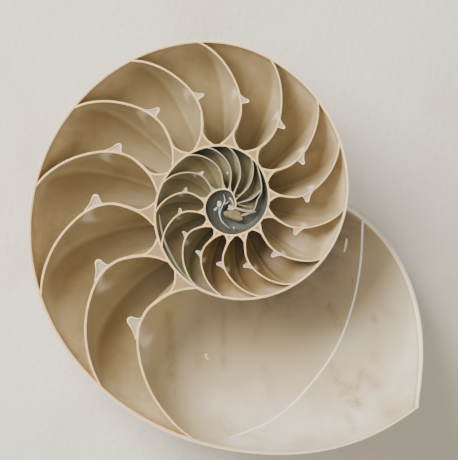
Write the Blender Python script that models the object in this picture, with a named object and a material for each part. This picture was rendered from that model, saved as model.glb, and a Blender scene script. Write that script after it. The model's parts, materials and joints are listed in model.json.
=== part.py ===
"""Half of a chambered nautilus shell, cut on its median plane.

The shell lies on its convex flank with the cut face up. The cut opens the
living chamber and every earlier chamber back to the first turns of the spiral.
"""

import math

import bmesh
import bpy
import numpy as np
from mathutils import Matrix, Vector
from mathutils.geometry import delaunay_2d_cdt

MM = 0.001

# Growth of the shell. The angle is zero at the right of the cut face and grows
# counterclockwise. The radius runs to the outer edge of the wall, in millimetres.
SPIRAL_DEG = (
    -1020, -720, -690, -660, -630, -600, -570, -540, -510, -480, -450, -420,
    -390, -360, -330, -300, -270, -240, -210, -180, -150, -120, -90, -60,
    -30, 0, 30, 60, 90, 120, 150, 180, 210, 240, 270, 300, 315, 330, 360, 390,
)
SPIRAL_MM = (
    0.6, 1.3, 1.9, 3.0, 5.5, 7.0, 8.4, 9.3, 9.7, 10.3, 10.8, 11.2,
    12.2, 13.7, 15.5, 18.4, 21.3, 23.3, 25.0, 26.8, 28.7, 31.1, 33.1, 35.5,
    38.2, 41.3, 45.3, 51.1, 57.8, 62.3, 66.3, 70.9, 75.8, 80.5, 86.6, 95.2,
    98.0, 101.8, 110.2, 119.5,
)

# Section of a whorl as shares of the spiral radius: distance from the coiling
# axis, then depth below the cut. It runs from the outer edge to the umbilicus.
SECTION_OUT = (1.0, 0.965, 0.86, 0.69, 0.49, 0.31, 0.19, 0.11, 0.05, 0.0)
SECTION_DEEP = (0.0, 0.13, 0.25, 0.34, 0.385, 0.38, 0.345, 0.31, 0.28, 0.27)
CHAMBER_ROW = 6
CALLUS_DEPTH = 21.0

# Lip of the living chamber: its angle at the outer edge and how far it sweeps
# forward on the way to the umbilicus.
LIP_DEG = 313.1
LIP_SWEEP_DEG = 77.0

# Thickness of the walls and septa: a fixed part and a share of the radius.
WALL_BASE = 0.55
WALL_SHARE = 0.0082
SEPTUM_BASE = 0.42
SEPTUM_SHARE = 0.0058
SEPTUM_THIN_OUT = 0.5
SEPTUM_THIN_REACH = 6.0

# Septa from the first turns outwards: the angle of the deepest point on the
# cut, then how far the outer end leads it.
SEPTA = (
    (-455.0, 20.0), (-415.0, 20.0), (-378.0, 20.0),
    (-343.5, 20.0), (-315.0, 21.0), (-290.0, 22.0), (-272.0, 23.0), (-254.5, 24.0),
    (-227.0, 27.0), (-197.5, 22.0), (-172.5, 23.0), (-147.0, 33.0), (-122.0, 26.0),
    (-98.0, 26.0), (-72.5, 21.0), (-45.5, 15.5), (-19.0, 17.5), (7.5, 22.0),
    (34.0, 16.0), (59.0, 15.0), (83.5, 17.0), (107.0, 17.0), (130.0, 17.5),
    (154.0, 20.0), (179.0, 26.0), (206.0, 28.0), (231.5, 29.0),
)
FIRST_CHAMBER_DEG = -648.0
FIRST_FINE_SEPTUM = 17

# Course of a septum across the chamber, from the inner wall at 0 to the outer
# wall at 1. The lead is a share of the septum's own lead. The flares in degrees
# form the solid pad where the septum meets the inner wall.
LEAD_AT = (0.0, 0.35, 0.45, 0.55, 0.68, 0.81, 0.89, 0.95, 1.0)
LEAD_SHARE = (0.0, 0.0, 0.03, 0.12, 0.3, 0.52, 0.69, 0.84, 1.0)
FLARE_AT = (0.0, 0.05, 0.12, 0.22, 0.35, 1.0)
FLARE_FRONT_DEG = (15.0, 9.5, 5.0, 1.8, 0.0, 0.0)
FLARE_BACK_DEG = (-1.0, 2.5, 4.0, 1.6, 0.0, 0.0)
FLARE_FULL_RADIUS = 30.0

# Shape of a septum below the cut, by row of the section: the share of its lead
# that is left on the flank, and how far in degrees the bowl bends forward.
FLANK_SHARE = (1.0, 0.85, 0.6, 0.4, 0.3, 0.3, 0.3)
BOWL_DEG = (0.0, 0.3, 1.0, 2.5, 4.5, 8.0, 13.0)

# Neck of a septum: a small horn on its back, just under the cut. The sizes are
# the last neck's. The shares give each neck's breadth and height, septum by septum.
FIRST_NECK_SEPTUM = 8
NECK_AT = 0.47
NECK_LENGTH = 4.9
NECK_RADII = (3.4, 2.2, 1.4, 0.8)
NECK_HEIGHTS = (0.0, 0.35, 0.75, 1.0)
NECK_DEPTH = 2.5
NECK_SHARES = (
    (0.26, 0.34), (0.26, 0.36), (0.27, 0.38), (0.3, 0.42), (0.34, 0.46), (0.4, 0.5),
    (0.4, 0.5), (0.44, 0.52), (0.5, 0.56), (0.52, 0.6), (0.5, 0.6), (0.46, 0.62),
    (0.46, 0.64), (0.48, 0.68), (0.62, 0.74), (0.78, 0.7), (0.88, 0.88), (0.96, 0.96),
    (1.0, 1.0),
)
NECK_SIDES = 7
NECK_SINK = 0.2
NECK_BELOW_CUT = 0.12

# Facets: steps around the last whorl, along a chamber and across it.
WHORL_STEPS = 40
LIVING_STEPS = 15
FINE_ACROSS = (0.0, 0.05, 0.12, 0.22, 0.35, 0.52, 0.7, 0.86, 1.0)
PLAIN_ACROSS = (0.0, 0.12, 0.33, 0.56, 0.8, 1.0)
FINE_STEPS = 3
PLAIN_STEPS = 2

# Turns that set the shell on its flank.
REST_ROLL_DEG = -0.15
REST_PITCH_DEG = -11.42

SHELL_COLOR = (0.86, 0.79, 0.68, 1.0)
SHARP_DEG = 40.0
WELD_MM = 0.00001


def smooth(knots, values, x):
    """Return a cubic curve through the knots, sloped by each knot's neighbours."""
    knots = np.asarray(knots, dtype=float)
    values = np.asarray(values, dtype=float)
    slopes = np.gradient(values, knots)
    i = np.clip(np.searchsorted(knots, x) - 1, 0, len(knots) - 2)
    step = knots[i + 1] - knots[i]
    t = (x - knots[i]) / step
    ends = (1 + 2 * t) * (1 - t) ** 2 * values[i] + t * t * (3 - 2 * t) * values[i + 1]
    lean = t * (1 - t) ** 2 * slopes[i] - t * t * (1 - t) * slopes[i + 1]
    return ends + step * lean


def radius(growth):
    """Return the spiral's radius at an angle of growth."""
    return np.exp(smooth(SPIRAL_DEG, np.log(SPIRAL_MM), growth))


def wall_thickness(growth):
    """Return the outer wall's thickness at an angle of growth."""
    return WALL_BASE + WALL_SHARE * radius(growth)


def section_support():
    """Return the distance from the origin to the section's tangent at each row."""
    out = np.asarray(SECTION_OUT)
    deep = np.asarray(SECTION_DEEP)
    out_slope = np.gradient(out)
    deep_slope = np.gradient(deep)
    support = (out * deep_slope - deep * out_slope) / np.hypot(out_slope, deep_slope)
    support[0] = 1.0
    return support


SUPPORT = section_support()


def place(growth, row, reach):
    """Return the point at an angle, a row of the section and a reach from the origin."""
    turn = np.radians(growth)
    out = reach * SECTION_OUT[row]
    return np.array((out * np.cos(turn), out * np.sin(turn), -reach * SECTION_DEEP[row]))


def outside(growth, row):
    """Return a point of the outer surface, with the callus closing the umbilicus."""
    point = place(growth, row, radius(growth))
    share = min(SECTION_OUT[row] / SECTION_OUT[CHAMBER_ROW], 1.0)
    blend = share * share * (3 - 2 * share)
    point[2] = point[2] * blend - CALLUS_DEPTH * (1 - blend)
    return point


def lip_angle(row):
    """Return the lip's angle at a row of the section."""
    return LIP_DEG + LIP_SWEEP_DEG * (1 - SECTION_OUT[row])


def reach_at(growth, row, across):
    """Return how far from the origin a chamber's point lies."""
    inner = radius(growth - 360)
    outer = radius(growth) - wall_thickness(growth) / SUPPORT[row]
    return inner + across * (outer - inner)


def septum_face(septum, across, row, front):
    """Return the angle of a septum's front or back face."""
    middle, lead = septum
    flare = FLARE_FRONT_DEG if front else FLARE_BACK_DEG
    size = min(radius(middle) / FLARE_FULL_RADIUS, 1.0)

    def course(at):
        flared = size * size * np.interp(at, FLARE_AT, flare)
        led = lead * FLANK_SHARE[row] * np.interp(at, LEAD_AT, LEAD_SHARE)
        return middle + led + flared + BOWL_DEG[row]

    angle = course(across)
    reach = reach_at(angle, 0, across)
    near = 0.02
    rise = math.radians(course(across + near) - course(across - near))
    run = reach_at(angle, 0, across + near) - reach_at(angle, 0, across - near)
    slant = math.hypot(1.0, reach * rise / run)
    thickness = SEPTUM_BASE + SEPTUM_SHARE * radius(middle)
    width = max(reach, SEPTUM_THIN_REACH) * max(SECTION_OUT[row], SEPTUM_THIN_OUT)
    half = 0.5 * thickness * slant / width
    return angle + math.degrees(half) * (1 if front else -1)


def chamber_points(start, end, across_steps, along_steps):
    """Return a chamber's points by share across, row and step along."""
    rows = range(CHAMBER_ROW + 1)
    points = np.empty((len(across_steps), len(rows), along_steps + 1, 3))
    for i, across in enumerate(across_steps):
        for row in rows:
            first = start(across, row)
            last = end(across, row)
            for k in range(along_steps + 1):
                growth = first + (last - first) * k / along_steps
                points[i, row, k] = place(growth, row, reach_at(growth, row, across))
    return points


def rim(points):
    """Return a chamber's closed outline on the cut."""
    top = points[:, 0]
    back = [top[i, 0] for i in range(len(top))]
    outer = [top[-1, k] for k in range(1, top.shape[1])]
    front = [top[i, -1] for i in range(len(top) - 2, -1, -1)]
    inner = [top[0, k] for k in range(top.shape[1] - 2, 0, -1)]
    return back + outer + front + inner


class Skin:
    """Corners and faces of the shell's surface."""

    def __init__(self):
        self.corners = []
        self.faces = []

    def add_grid(self, points):
        """Add a grid of four-sided faces."""
        rows, columns = points.shape[:2]
        first = len(self.corners)
        self.corners.extend(points.reshape(-1, 3))
        for i in range(rows - 1):
            for j in range(columns - 1):
                a = first + i * columns + j
                self.faces.append((a, a + 1, a + columns + 1, a + columns))

    def add_face(self, *points):
        """Add one face."""
        first = len(self.corners)
        self.corners.extend(points)
        self.faces.append(tuple(range(first, first + len(points))))


def inside(point, outline):
    """Tell whether a flat point is inside a closed outline."""
    x, y = point
    hits = 0
    for (ax, ay, _), (bx, by, _) in zip(outline, outline[1:] + outline[:1]):
        if (ay > y) != (by > y) and x < ax + (y - ay) * (bx - ax) / (by - ay):
            hits += 1
    return hits % 2 == 1


def add_cut_face(skin, outline, holes):
    """Fill the flat cut between the shell's outline and its open chambers."""
    corners = []
    edges = []
    for loop in [outline] + holes:
        first = len(corners)
        corners.extend(Vector((float(p[0]), float(p[1]))) for p in loop)
        edges.extend((first + i, first + (i + 1) % len(loop)) for i in range(len(loop)))
    flat, _, triangles, origins, _, _ = delaunay_2d_cdt(corners, edges, [], 0, WELD_MM)
    points = [p for loop in [outline] + holes for p in loop]
    for triangle in triangles:
        center = sum((flat[i] for i in triangle), Vector((0.0, 0.0))) / 3
        if inside(center, outline) and not any(inside(center, hole) for hole in holes):
            skin.add_face(*(points[origins[i][0]] for i in triangle))


def build_skin():
    """Return the shell's whole surface before its necks are added."""
    skin = Skin()
    rows = len(SECTION_OUT)
    whorl = np.array([
        [outside(lip_angle(row) - 360 + 360 * k / WHORL_STEPS, row) for k in range(WHORL_STEPS + 1)]
        for row in range(rows)
    ])
    skin.add_grid(whorl[:rows - 1])
    pole = whorl[-1, 0]
    for k in range(WHORL_STEPS):
        skin.add_face(whorl[-2, k], whorl[-2, k + 1], pole)

    last = SEPTA[-1]
    living = chamber_points(
        lambda across, row: septum_face(last, across, row, True),
        lambda across, row: lip_angle(row),
        FINE_ACROSS,
        LIVING_STEPS,
    )
    skin.add_grid(living[:, :, 0])
    skin.add_grid(living[0])
    skin.add_grid(living[-1])
    skin.add_grid(living[:, -1])

    lip_inner = living[-1, :, -1]
    lip_outer = whorl[:CHAMBER_ROW + 1, -1]
    skin.add_grid(np.array((lip_inner, lip_outer)))
    corner = lip_outer[-1]
    for i in range(len(FINE_ACROSS) - 1):
        skin.add_face(corner, living[i, -1, -1], living[i + 1, -1, -1])
    for row in range(CHAMBER_ROW, rows - 2):
        skin.add_face(whorl[row, -1], whorl[row + 1, -1], whorl[row + 1, 0], whorl[row, 0])
    skin.add_face(whorl[-2, -1], pole, whorl[-2, 0])

    top = living[:, 0]
    outline = list(whorl[0])
    outline += [top[-1, k] for k in range(LIVING_STEPS, -1, -1)]
    outline += [top[i, 0] for i in range(len(top) - 2, -1, -1)]
    outline += [top[0, k] for k in range(1, LIVING_STEPS)]

    holes = []
    for index in range(len(SEPTA)):
        if index >= FIRST_FINE_SEPTUM:
            across_steps = FINE_ACROSS
            steps = FINE_STEPS
        else:
            across_steps = PLAIN_ACROSS
            steps = PLAIN_STEPS if index else LIVING_STEPS
        chamber = chamber_points(
            lambda across, row, at=index: chamber_start(at, across, row),
            lambda across, row, at=index: septum_face(SEPTA[at], across, row, False),
            across_steps,
            steps,
        )
        skin.add_grid(chamber[:, :, 0])
        skin.add_grid(chamber[:, :, -1])
        skin.add_grid(chamber[0])
        skin.add_grid(chamber[-1])
        skin.add_grid(chamber[:, -1])
        holes.append(rim(chamber))
    add_cut_face(skin, outline, holes)
    return skin


def chamber_start(index, across, row):
    """Return the angle where the chamber behind a septum begins."""
    if index == 0:
        return FIRST_CHAMBER_DEG
    return septum_face(SEPTA[index - 1], across, row, True)


def mesh_object(name, corners, faces):
    """Return a smooth-shaded object from corners in millimetres, facing outwards."""
    mesh = bpy.data.meshes.new(name)
    mesh.from_pydata([tuple(float(c) for c in p) for p in corners], [], faces)
    work = bmesh.new()
    work.from_mesh(mesh)
    bmesh.ops.remove_doubles(work, verts=work.verts, dist=WELD_MM)
    bmesh.ops.recalc_face_normals(work, faces=work.faces)
    work.to_mesh(mesh)
    work.free()
    mesh.shade_smooth()
    mesh.set_sharp_from_angle(angle=math.radians(SHARP_DEG))
    shape = bpy.data.objects.new(name, mesh)
    bpy.context.scene.collection.objects.link(shape)
    return shape


def add_neck(corners, faces, septum, shares):
    """Add one septum's neck as a closed horn that starts inside the septum."""
    middle, lead = septum
    broad, tall = shares
    angle = middle + lead * np.interp(NECK_AT, LEAD_AT, LEAD_SHARE)
    base = place(angle, 0, reach_at(angle, 0, NECK_AT))
    near = 0.04
    ahead = middle + lead * np.interp(NECK_AT + near, LEAD_AT, LEAD_SHARE)
    behind = middle + lead * np.interp(NECK_AT - near, LEAD_AT, LEAD_SHARE)
    along = place(ahead, 0, reach_at(ahead, 0, NECK_AT + near)) - place(
        behind, 0, reach_at(behind, 0, NECK_AT - near))
    along /= np.linalg.norm(along)
    aim = np.array((along[1], -along[0], 0.0))
    first = len(corners)
    for share, wide in zip(NECK_HEIGHTS, NECK_RADII):
        half_depth = 0.5 * NECK_DEPTH * (broad + tall) / 2 * wide / NECK_RADII[0]
        center = base + aim * (share * NECK_LENGTH * tall - NECK_SINK)
        center[2] = -(half_depth + NECK_BELOW_CUT)
        for side in range(NECK_SIDES):
            turn = 2 * math.pi * (side + 0.5) / NECK_SIDES
            corners.append(
                center + along * (wide * broad * math.cos(turn))
                + np.array((0.0, 0.0, half_depth * math.sin(turn))))
    rings = len(NECK_RADII)
    for ring in range(rings - 1):
        for side in range(NECK_SIDES):
            a = first + ring * NECK_SIDES + side
            b = first + ring * NECK_SIDES + (side + 1) % NECK_SIDES
            faces.append((a, b, b + NECK_SIDES, a + NECK_SIDES))
    faces.append(tuple(range(first + NECK_SIDES - 1, first - 1, -1)))
    tip = first + (rings - 1) * NECK_SIDES
    faces.append(tuple(range(tip, tip + NECK_SIDES)))


def set_at_rest(shapes, lead_shape):
    """Turn the shapes onto the shell's flank and put the base's center at the origin."""
    turn = Matrix.Rotation(math.radians(REST_ROLL_DEG), 4, "X")
    turn = turn @ Matrix.Rotation(math.radians(REST_PITCH_DEG), 4, "Y")
    turn = turn @ Matrix.Scale(MM, 4)
    for shape in shapes:
        shape.data.transform(turn)
    spots = np.array([v.co[:] for v in lead_shape.data.vertices])
    low = spots.min(axis=0)
    high = spots.max(axis=0)
    shift = Matrix.Translation((-(low[0] + high[0]) / 2, -(low[1] + high[1]) / 2, -low[2]))
    for shape in shapes:
        shape.data.transform(shift)
        shape.data.update()


def main():
    """Build the shell half."""
    for item in list(bpy.data.objects):
        bpy.data.objects.remove(item, do_unlink=True)

    skin = build_skin()
    shell = mesh_object("nautilus_shell_half", skin.corners, skin.faces)

    corners = []
    faces = []
    for septum, shares in zip(SEPTA[FIRST_NECK_SEPTUM:], NECK_SHARES):
        add_neck(corners, faces, septum, shares)
    necks = mesh_object("septal_necks", corners, faces)
    necks.hide_render = True
    necks.display_type = "WIRE"

    set_at_rest((shell, necks), shell)

    join = shell.modifiers.new("necks", "BOOLEAN")
    join.operation = "UNION"
    join.solver = "EXACT"
    join.object = necks

    finish = bpy.data.materials.new("shell")
    finish.use_nodes = True
    shader = finish.node_tree.nodes["Principled BSDF"]
    shader.inputs["Base Color"].default_value = SHELL_COLOR
    shader.inputs["Roughness"].default_value = 0.45
    shell.data.materials.append(finish)


main()
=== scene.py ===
"""Dressed nautilus shell half.

The shell lies on its convex flank with the sawn face up. Every surface is laid
out in the shell's own millimetres, where the coiling axis is Z and the saw cut
is the plane z = 0, and is then turned onto the flank as the frame is.
"""

import json
import logging
import math
from dataclasses import dataclass, field
from enum import Enum
from typing import Callable, Sequence

import bmesh
import bpy
import numpy as np
from mathutils import Matrix, Vector
from mathutils.geometry import delaunay_2d_cdt
from mathutils.kdtree import KDTree

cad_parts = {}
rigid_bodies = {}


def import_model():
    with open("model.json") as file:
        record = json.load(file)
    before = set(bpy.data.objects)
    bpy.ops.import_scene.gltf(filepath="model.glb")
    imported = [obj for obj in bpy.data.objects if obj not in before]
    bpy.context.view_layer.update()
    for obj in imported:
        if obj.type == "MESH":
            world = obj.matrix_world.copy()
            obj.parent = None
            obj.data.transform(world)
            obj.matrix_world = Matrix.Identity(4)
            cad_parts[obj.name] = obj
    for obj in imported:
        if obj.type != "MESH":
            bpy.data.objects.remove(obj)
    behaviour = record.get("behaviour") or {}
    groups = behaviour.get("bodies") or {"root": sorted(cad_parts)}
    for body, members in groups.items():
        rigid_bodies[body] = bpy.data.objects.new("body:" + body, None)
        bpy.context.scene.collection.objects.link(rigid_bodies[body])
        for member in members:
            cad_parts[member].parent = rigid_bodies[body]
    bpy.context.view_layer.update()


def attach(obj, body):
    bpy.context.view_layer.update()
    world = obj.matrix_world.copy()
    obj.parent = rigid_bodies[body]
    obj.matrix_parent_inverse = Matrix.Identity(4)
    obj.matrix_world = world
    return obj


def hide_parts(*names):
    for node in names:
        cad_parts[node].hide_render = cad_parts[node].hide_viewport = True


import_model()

Array = np.ndarray
Color = tuple[float, float, float]
LOG = logging.getLogger("nautilus")
MM = 0.001
NODE = "nautilus_shell_half"
BODY = "root"
FLAT_FACE_M = 1e-7
LIP_SIZE_MM = 80.0
ABOVE_MM = (0.0, 0.0, 300.0)
UNDER_LIP_MM = (0.0, 20.0, -12.0)


def shade(red: int, green: int, blue: int) -> Color:
    """Turn a screen color of 0 to 255 into the linear color a shader reads.

    Args:
        red: Red share.
        green: Green share.
        blue: Blue share.

    Returns:
        The linear red, green and blue.
    """
    parts = (c / 255 for c in (red, green, blue))
    return tuple(c / 12.92 if c <= 0.04045 else ((c + 0.055) / 1.055) ** 2.4 for c in parts)


def curve_through(knots: Sequence[float], values: Sequence[float], x: Array,
                  monotone: bool = False) -> Array:
    """Evaluate a cubic curve through knots.

    Args:
        knots: Places of the knots, rising.
        values: Values at the knots.
        x: Places to evaluate.
        monotone: Whether the curve may not swing past its knots.

    Returns:
        The curve's values at x.
    """
    knots = np.asarray(knots, float)
    values = np.asarray(values, float)
    if monotone:
        rises = np.diff(values) / np.diff(knots)
        same = rises[1:] * rises[:-1] > 0
        bottom = np.where(same, rises[1:] + rises[:-1], 1.0)
        inner = np.where(same, 2 * rises[1:] * rises[:-1] / bottom, 0.0)
        slopes = np.concatenate(([rises[0]], inner, [rises[-1]]))
    else:
        slopes = np.gradient(values, knots)
    i = np.clip(np.searchsorted(knots, x) - 1, 0, len(knots) - 2)
    step = knots[i + 1] - knots[i]
    t = (x - knots[i]) / step
    ends = (1 + 2 * t) * (1 - t) ** 2 * values[i] + t * t * (3 - 2 * t) * values[i + 1]
    lean = t * (1 - t) ** 2 * slopes[i] - t * t * (1 - t) * slopes[i + 1]
    return ends + step * lean


def ease(low: float, high: float, x: Array) -> Array:
    """Rise smoothly from 0 at low to 1 at high.

    Args:
        low: Where the rise starts.
        high: Where it ends.
        x: Places to evaluate.

    Returns:
        Values of 0 to 1.
    """
    t = np.clip((np.asarray(x, float) - low) / (high - low), 0, 1)
    return t * t * (3 - 2 * t)


@dataclass(frozen=True)
class ShellForm:
    """The law of growth that every surface follows."""

    spiral_deg: tuple[float, ...] = (
        -1180, -840, -780, -720, -690, -660,
        -630, -600, -570, -540, -510, -480, -450, -420,
        -390, -360, -330, -300, -270, -240, -210, -180, -150, -120, -90, -60,
        -30, 0, 30, 60, 90, 120, 150, 180, 210, 240, 270, 300, 315, 330, 360, 390)
    spiral_mm: tuple[float, ...] = (
        0.25, 0.9, 1.7, 2.2, 2.5, 3.4,
        5.5, 7.0, 8.4, 9.3, 9.7, 10.3, 10.8, 11.2,
        12.2, 13.7, 15.5, 18.4, 21.3, 23.3, 25.0, 26.8, 28.7, 31.1, 33.1, 35.5,
        38.2, 41.3, 45.3, 51.1, 57.8, 62.3, 66.3, 70.9, 75.8, 80.5, 86.6, 95.2,
        98.0, 101.8, 110.2, 119.5)
    section_out: tuple[float, ...] = (1.0, 0.965, 0.86, 0.69, 0.49, 0.31, 0.19, 0.11, 0.05, 0.0)
    section_deep: tuple[float, ...] = (
        0.0, 0.13, 0.25, 0.34, 0.385, 0.38, 0.345, 0.31, 0.28, 0.27)
    chamber_row: float = 6.0
    callus_depth: float = 21.0
    lip_deg: float = 313.1
    lip_sweep_deg: float = 77.0
    wall_base: float = 0.55
    wall_share: float = 0.0082
    lip_taper_deg: float = 60.0
    lip_taper_share: float = 0.5

    def radius(self, growth: Array) -> Array:
        """Return the spiral's radius in millimetres at an angle of growth."""
        return np.exp(curve_through(self.spiral_deg, np.log(self.spiral_mm), growth))

    def wall(self, growth: Array, row: Array) -> Array:
        """Return the outer wall's thickness in millimetres, tapered towards the lip.

        Args:
            growth: Angle of growth in degrees.
            row: Row of the section.

        Returns:
            The thickness.
        """
        behind = np.clip((self.lip_angle(row) - growth) / self.lip_taper_deg, 0, 1)
        taper = self.lip_taper_share + (1 - self.lip_taper_share) * behind
        return (self.wall_base + self.wall_share * self.radius(growth)) * taper

    def section(self, row: Array) -> tuple[Array, Array]:
        """Return the section's shares outwards and downwards at a row.

        Args:
            row: Row of the section, 0 on the cut and 9 in the umbilicus.

        Returns:
            The distance from the axis and the depth, as shares of the radius.
        """
        rows = np.arange(-1, len(self.section_out))
        out = np.concatenate(([self.section_out[1]], self.section_out))
        deep = np.concatenate(([-self.section_deep[1]], self.section_deep))
        row = np.asarray(row, float)
        return curve_through(rows, out, row), curve_through(rows, deep, row)

    def support(self, row: Array) -> Array:
        """Return the distance from the origin to the section's tangent at a row.

        Args:
            row: Row of the section.

        Returns:
            The distance, as a share of the radius.
        """
        near = 0.01
        out, deep = self.section(row)
        out_ahead, deep_ahead = self.section(np.asarray(row) + near)
        out_behind, deep_behind = self.section(np.asarray(row) - near)
        across = out_ahead - out_behind
        down = deep_ahead - deep_behind
        return (out * down - deep * across) / np.hypot(across, down)

    def place(self, growth: Array, row: Array, reach: Array) -> Array:
        """Return points at an angle, a row of the section and a reach from the origin.

        Args:
            growth: Angle of growth in degrees.
            row: Row of the section.
            reach: Distance from the origin on the cut, in millimetres.

        Returns:
            The points, with three numbers each.
        """
        turn = np.radians(growth)
        out, deep = self.section(row)
        parts = (reach * out * np.cos(turn), reach * out * np.sin(turn), -reach * deep)
        return np.stack(np.broadcast_arrays(*parts), axis=-1)

    def outside(self, growth: Array, row: Array) -> Array:
        """Return points of the outer surface, with the callus closing the umbilicus.

        Args:
            growth: Angle of growth in degrees.
            row: Row of the section.

        Returns:
            The points, with three numbers each.
        """
        point = self.place(growth, row, self.radius(growth))
        limit, _ = self.section(self.chamber_row)
        out, _ = self.section(row)
        blend = ease(0.0, 1.0, np.broadcast_to(out / limit, point.shape[:-1]))
        point[..., 2] = point[..., 2] * blend - self.callus_depth * (1 - blend)
        return point

    def lip_angle(self, row: Array) -> Array:
        """Return the lip's angle at a row of the section."""
        out, _ = self.section(row)
        return self.lip_deg + self.lip_sweep_deg * (1 - out)

    def reach(self, growth: Array, row: Array, across: Array) -> Array:
        """Return how far from the origin a chamber's point lies.

        Args:
            growth: Angle of growth in degrees.
            row: Row of the section.
            across: Share of the way from the inner wall to the outer wall.

        Returns:
            The distance in millimetres.
        """
        inner = self.radius(growth - 360)
        outer = self.radius(growth) - self.wall(growth, row) / self.support(row)
        return inner + across * (outer - inner)


FORM = ShellForm()
BAND_DEG = (-385.0, -372.0, -350.0, -335.0, -320.0, -300.0)
BAND_SHARE = (0.42, 0.37, 0.33, 0.17, 0.10, 0.0)


def band_share(growth: Array) -> Array:
    """Return the bare band's share of a chamber's width beside the outer wall."""
    held = np.clip(growth, BAND_DEG[0], BAND_DEG[-1])
    return curve_through(BAND_DEG, BAND_SHARE, held, True)


@dataclass(frozen=True)
class RestPose:
    """The turn and the shift that lay the shell on its flank."""

    roll_deg: float = -0.15
    pitch_deg: float = -11.42
    shift_mm: tuple[float, float, float] = (-1.5507, 14.6241, 34.9110)

    def turn(self) -> Matrix:
        """Return the turn alone."""
        roll = Matrix.Rotation(math.radians(self.roll_deg), 3, "X")
        return roll @ Matrix.Rotation(math.radians(self.pitch_deg), 3, "Y")

    def to_world(self, points: Array) -> Array:
        """Carry points from the shell's millimetres to metres in the row frame."""
        return (points @ np.array(self.turn()).T + np.array(self.shift_mm)) * MM


POSE = RestPose()


@dataclass(frozen=True)
class Septum:
    """One partition between two chambers."""

    middle: float
    lead: float
    base: float = 0.28
    share: float = 0.0075
    lead_at: tuple[float, ...] = (0.0, 0.35, 0.45, 0.55, 0.68, 0.81, 0.89, 0.95, 1.0)
    lead_share: tuple[float, ...] = (0.0, 0.0, 0.03, 0.12, 0.3, 0.52, 0.69, 0.84, 1.0)
    flare_at: tuple[float, ...] = (0.0, 0.05, 0.12, 0.22, 0.35, 1.0)
    flare_front: tuple[float, ...] = (15.0, 9.5, 5.0, 1.8, 0.0, 0.0)
    flare_back: tuple[float, ...] = (-1.0, 2.5, 4.0, 1.6, 0.0, 0.0)
    flare_full_radius: float = 30.0
    flank_share: tuple[float, ...] = (1.0, 0.85, 0.6, 0.4, 0.3, 0.3, 0.3)
    bowl_deg: tuple[float, ...] = (0.0, 0.3, 1.0, 2.5, 4.5, 8.0, 13.0)
    thin_out: float = 0.5
    thin_reach: float = 6.0

    def course(self, across: Array, row: Array, front: bool | None) -> Array:
        """Return the angle of the septum's middle line, with one side's flare.

        Args:
            across: Share of the way from the inner wall to the outer wall.
            row: Row of the section.
            front: Which side's flare is added, or None for neither.

        Returns:
            The angle of growth in degrees.
        """
        rows = np.arange(len(self.bowl_deg))
        at = np.clip(across, 0, 1)
        led = self.lead * curve_through(rows, self.flank_share, row, True)
        angle = self.middle + led * curve_through(self.lead_at, self.lead_share, at, True)
        angle = angle + curve_through(rows, self.bowl_deg, row, True)
        if front is not None:
            size = min(float(FORM.radius(self.middle)) / self.flare_full_radius, 1.0)
            flare = self.flare_front if front else self.flare_back
            angle = angle + size * size * curve_through(self.flare_at, flare, at, True)
        return angle

    def face(self, across: Array, row: Array, front: bool) -> Array:
        """Return the angle of the septum's front or back face.

        Args:
            across: Share of the way from the inner wall to the outer wall.
            row: Row of the section.
            front: Whether the front face is meant.

        Returns:
            The angle of growth in degrees.
        """
        angle = self.course(across, row, front)
        near = 0.02
        low = np.clip(across - near, 0, 1)
        high = np.clip(across + near, 0, 1)
        rise = np.radians(self.course(high, row, front) - self.course(low, row, front))
        run = FORM.reach(angle, 0.0, high) - FORM.reach(angle, 0.0, low)
        reach = FORM.reach(angle, 0.0, across)
        slant = np.minimum(np.hypot(1.0, reach * rise / run), 2.2)
        thickness = self.base + self.share * float(FORM.radius(self.middle))
        out, _ = FORM.section(row)
        width = np.maximum(reach, self.thin_reach) * np.maximum(out, self.thin_out)
        half = np.degrees(0.5 * thickness * slant / width)
        return angle + (half if front else -half)


SEPTA = tuple(Septum(middle, lead) for middle, lead in (
    (-378.0, 28.0), (-343.5, 20.0), (-315.0, 21.0), (-290.0, 22.0), (-272.0, 23.0),
    (-254.5, 24.0),
    (-227.0, 27.0), (-197.5, 22.0), (-172.5, 23.0), (-147.0, 33.0), (-122.0, 26.0),
    (-98.0, 26.0), (-72.5, 21.0), (-45.5, 15.5), (-19.0, 17.5), (7.5, 22.0),
    (34.0, 16.0), (59.0, 15.0), (83.5, 17.0), (107.0, 17.0), (130.0, 17.5),
    (154.0, 20.0), (179.0, 26.0), (206.0, 28.0), (231.5, 29.0)))
FIRST_CHAMBER_DEG = -800.0
BAND_END_DEG = -303.0


def new_object(name: str, data: bpy.types.ID) -> bpy.types.Object:
    """Make an object of a mesh, a camera or a light and link it to the scene.

    Args:
        name: The object's name.
        data: Its mesh, camera or light.

    Returns:
        The object.
    """
    item = bpy.data.objects.new(name, data)
    bpy.context.scene.collection.objects.link(item)
    return item


class Side(Enum):
    """Which way the faces of a sheet look from a given point."""

    TOWARDS = 1
    AWAY = -1


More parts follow.
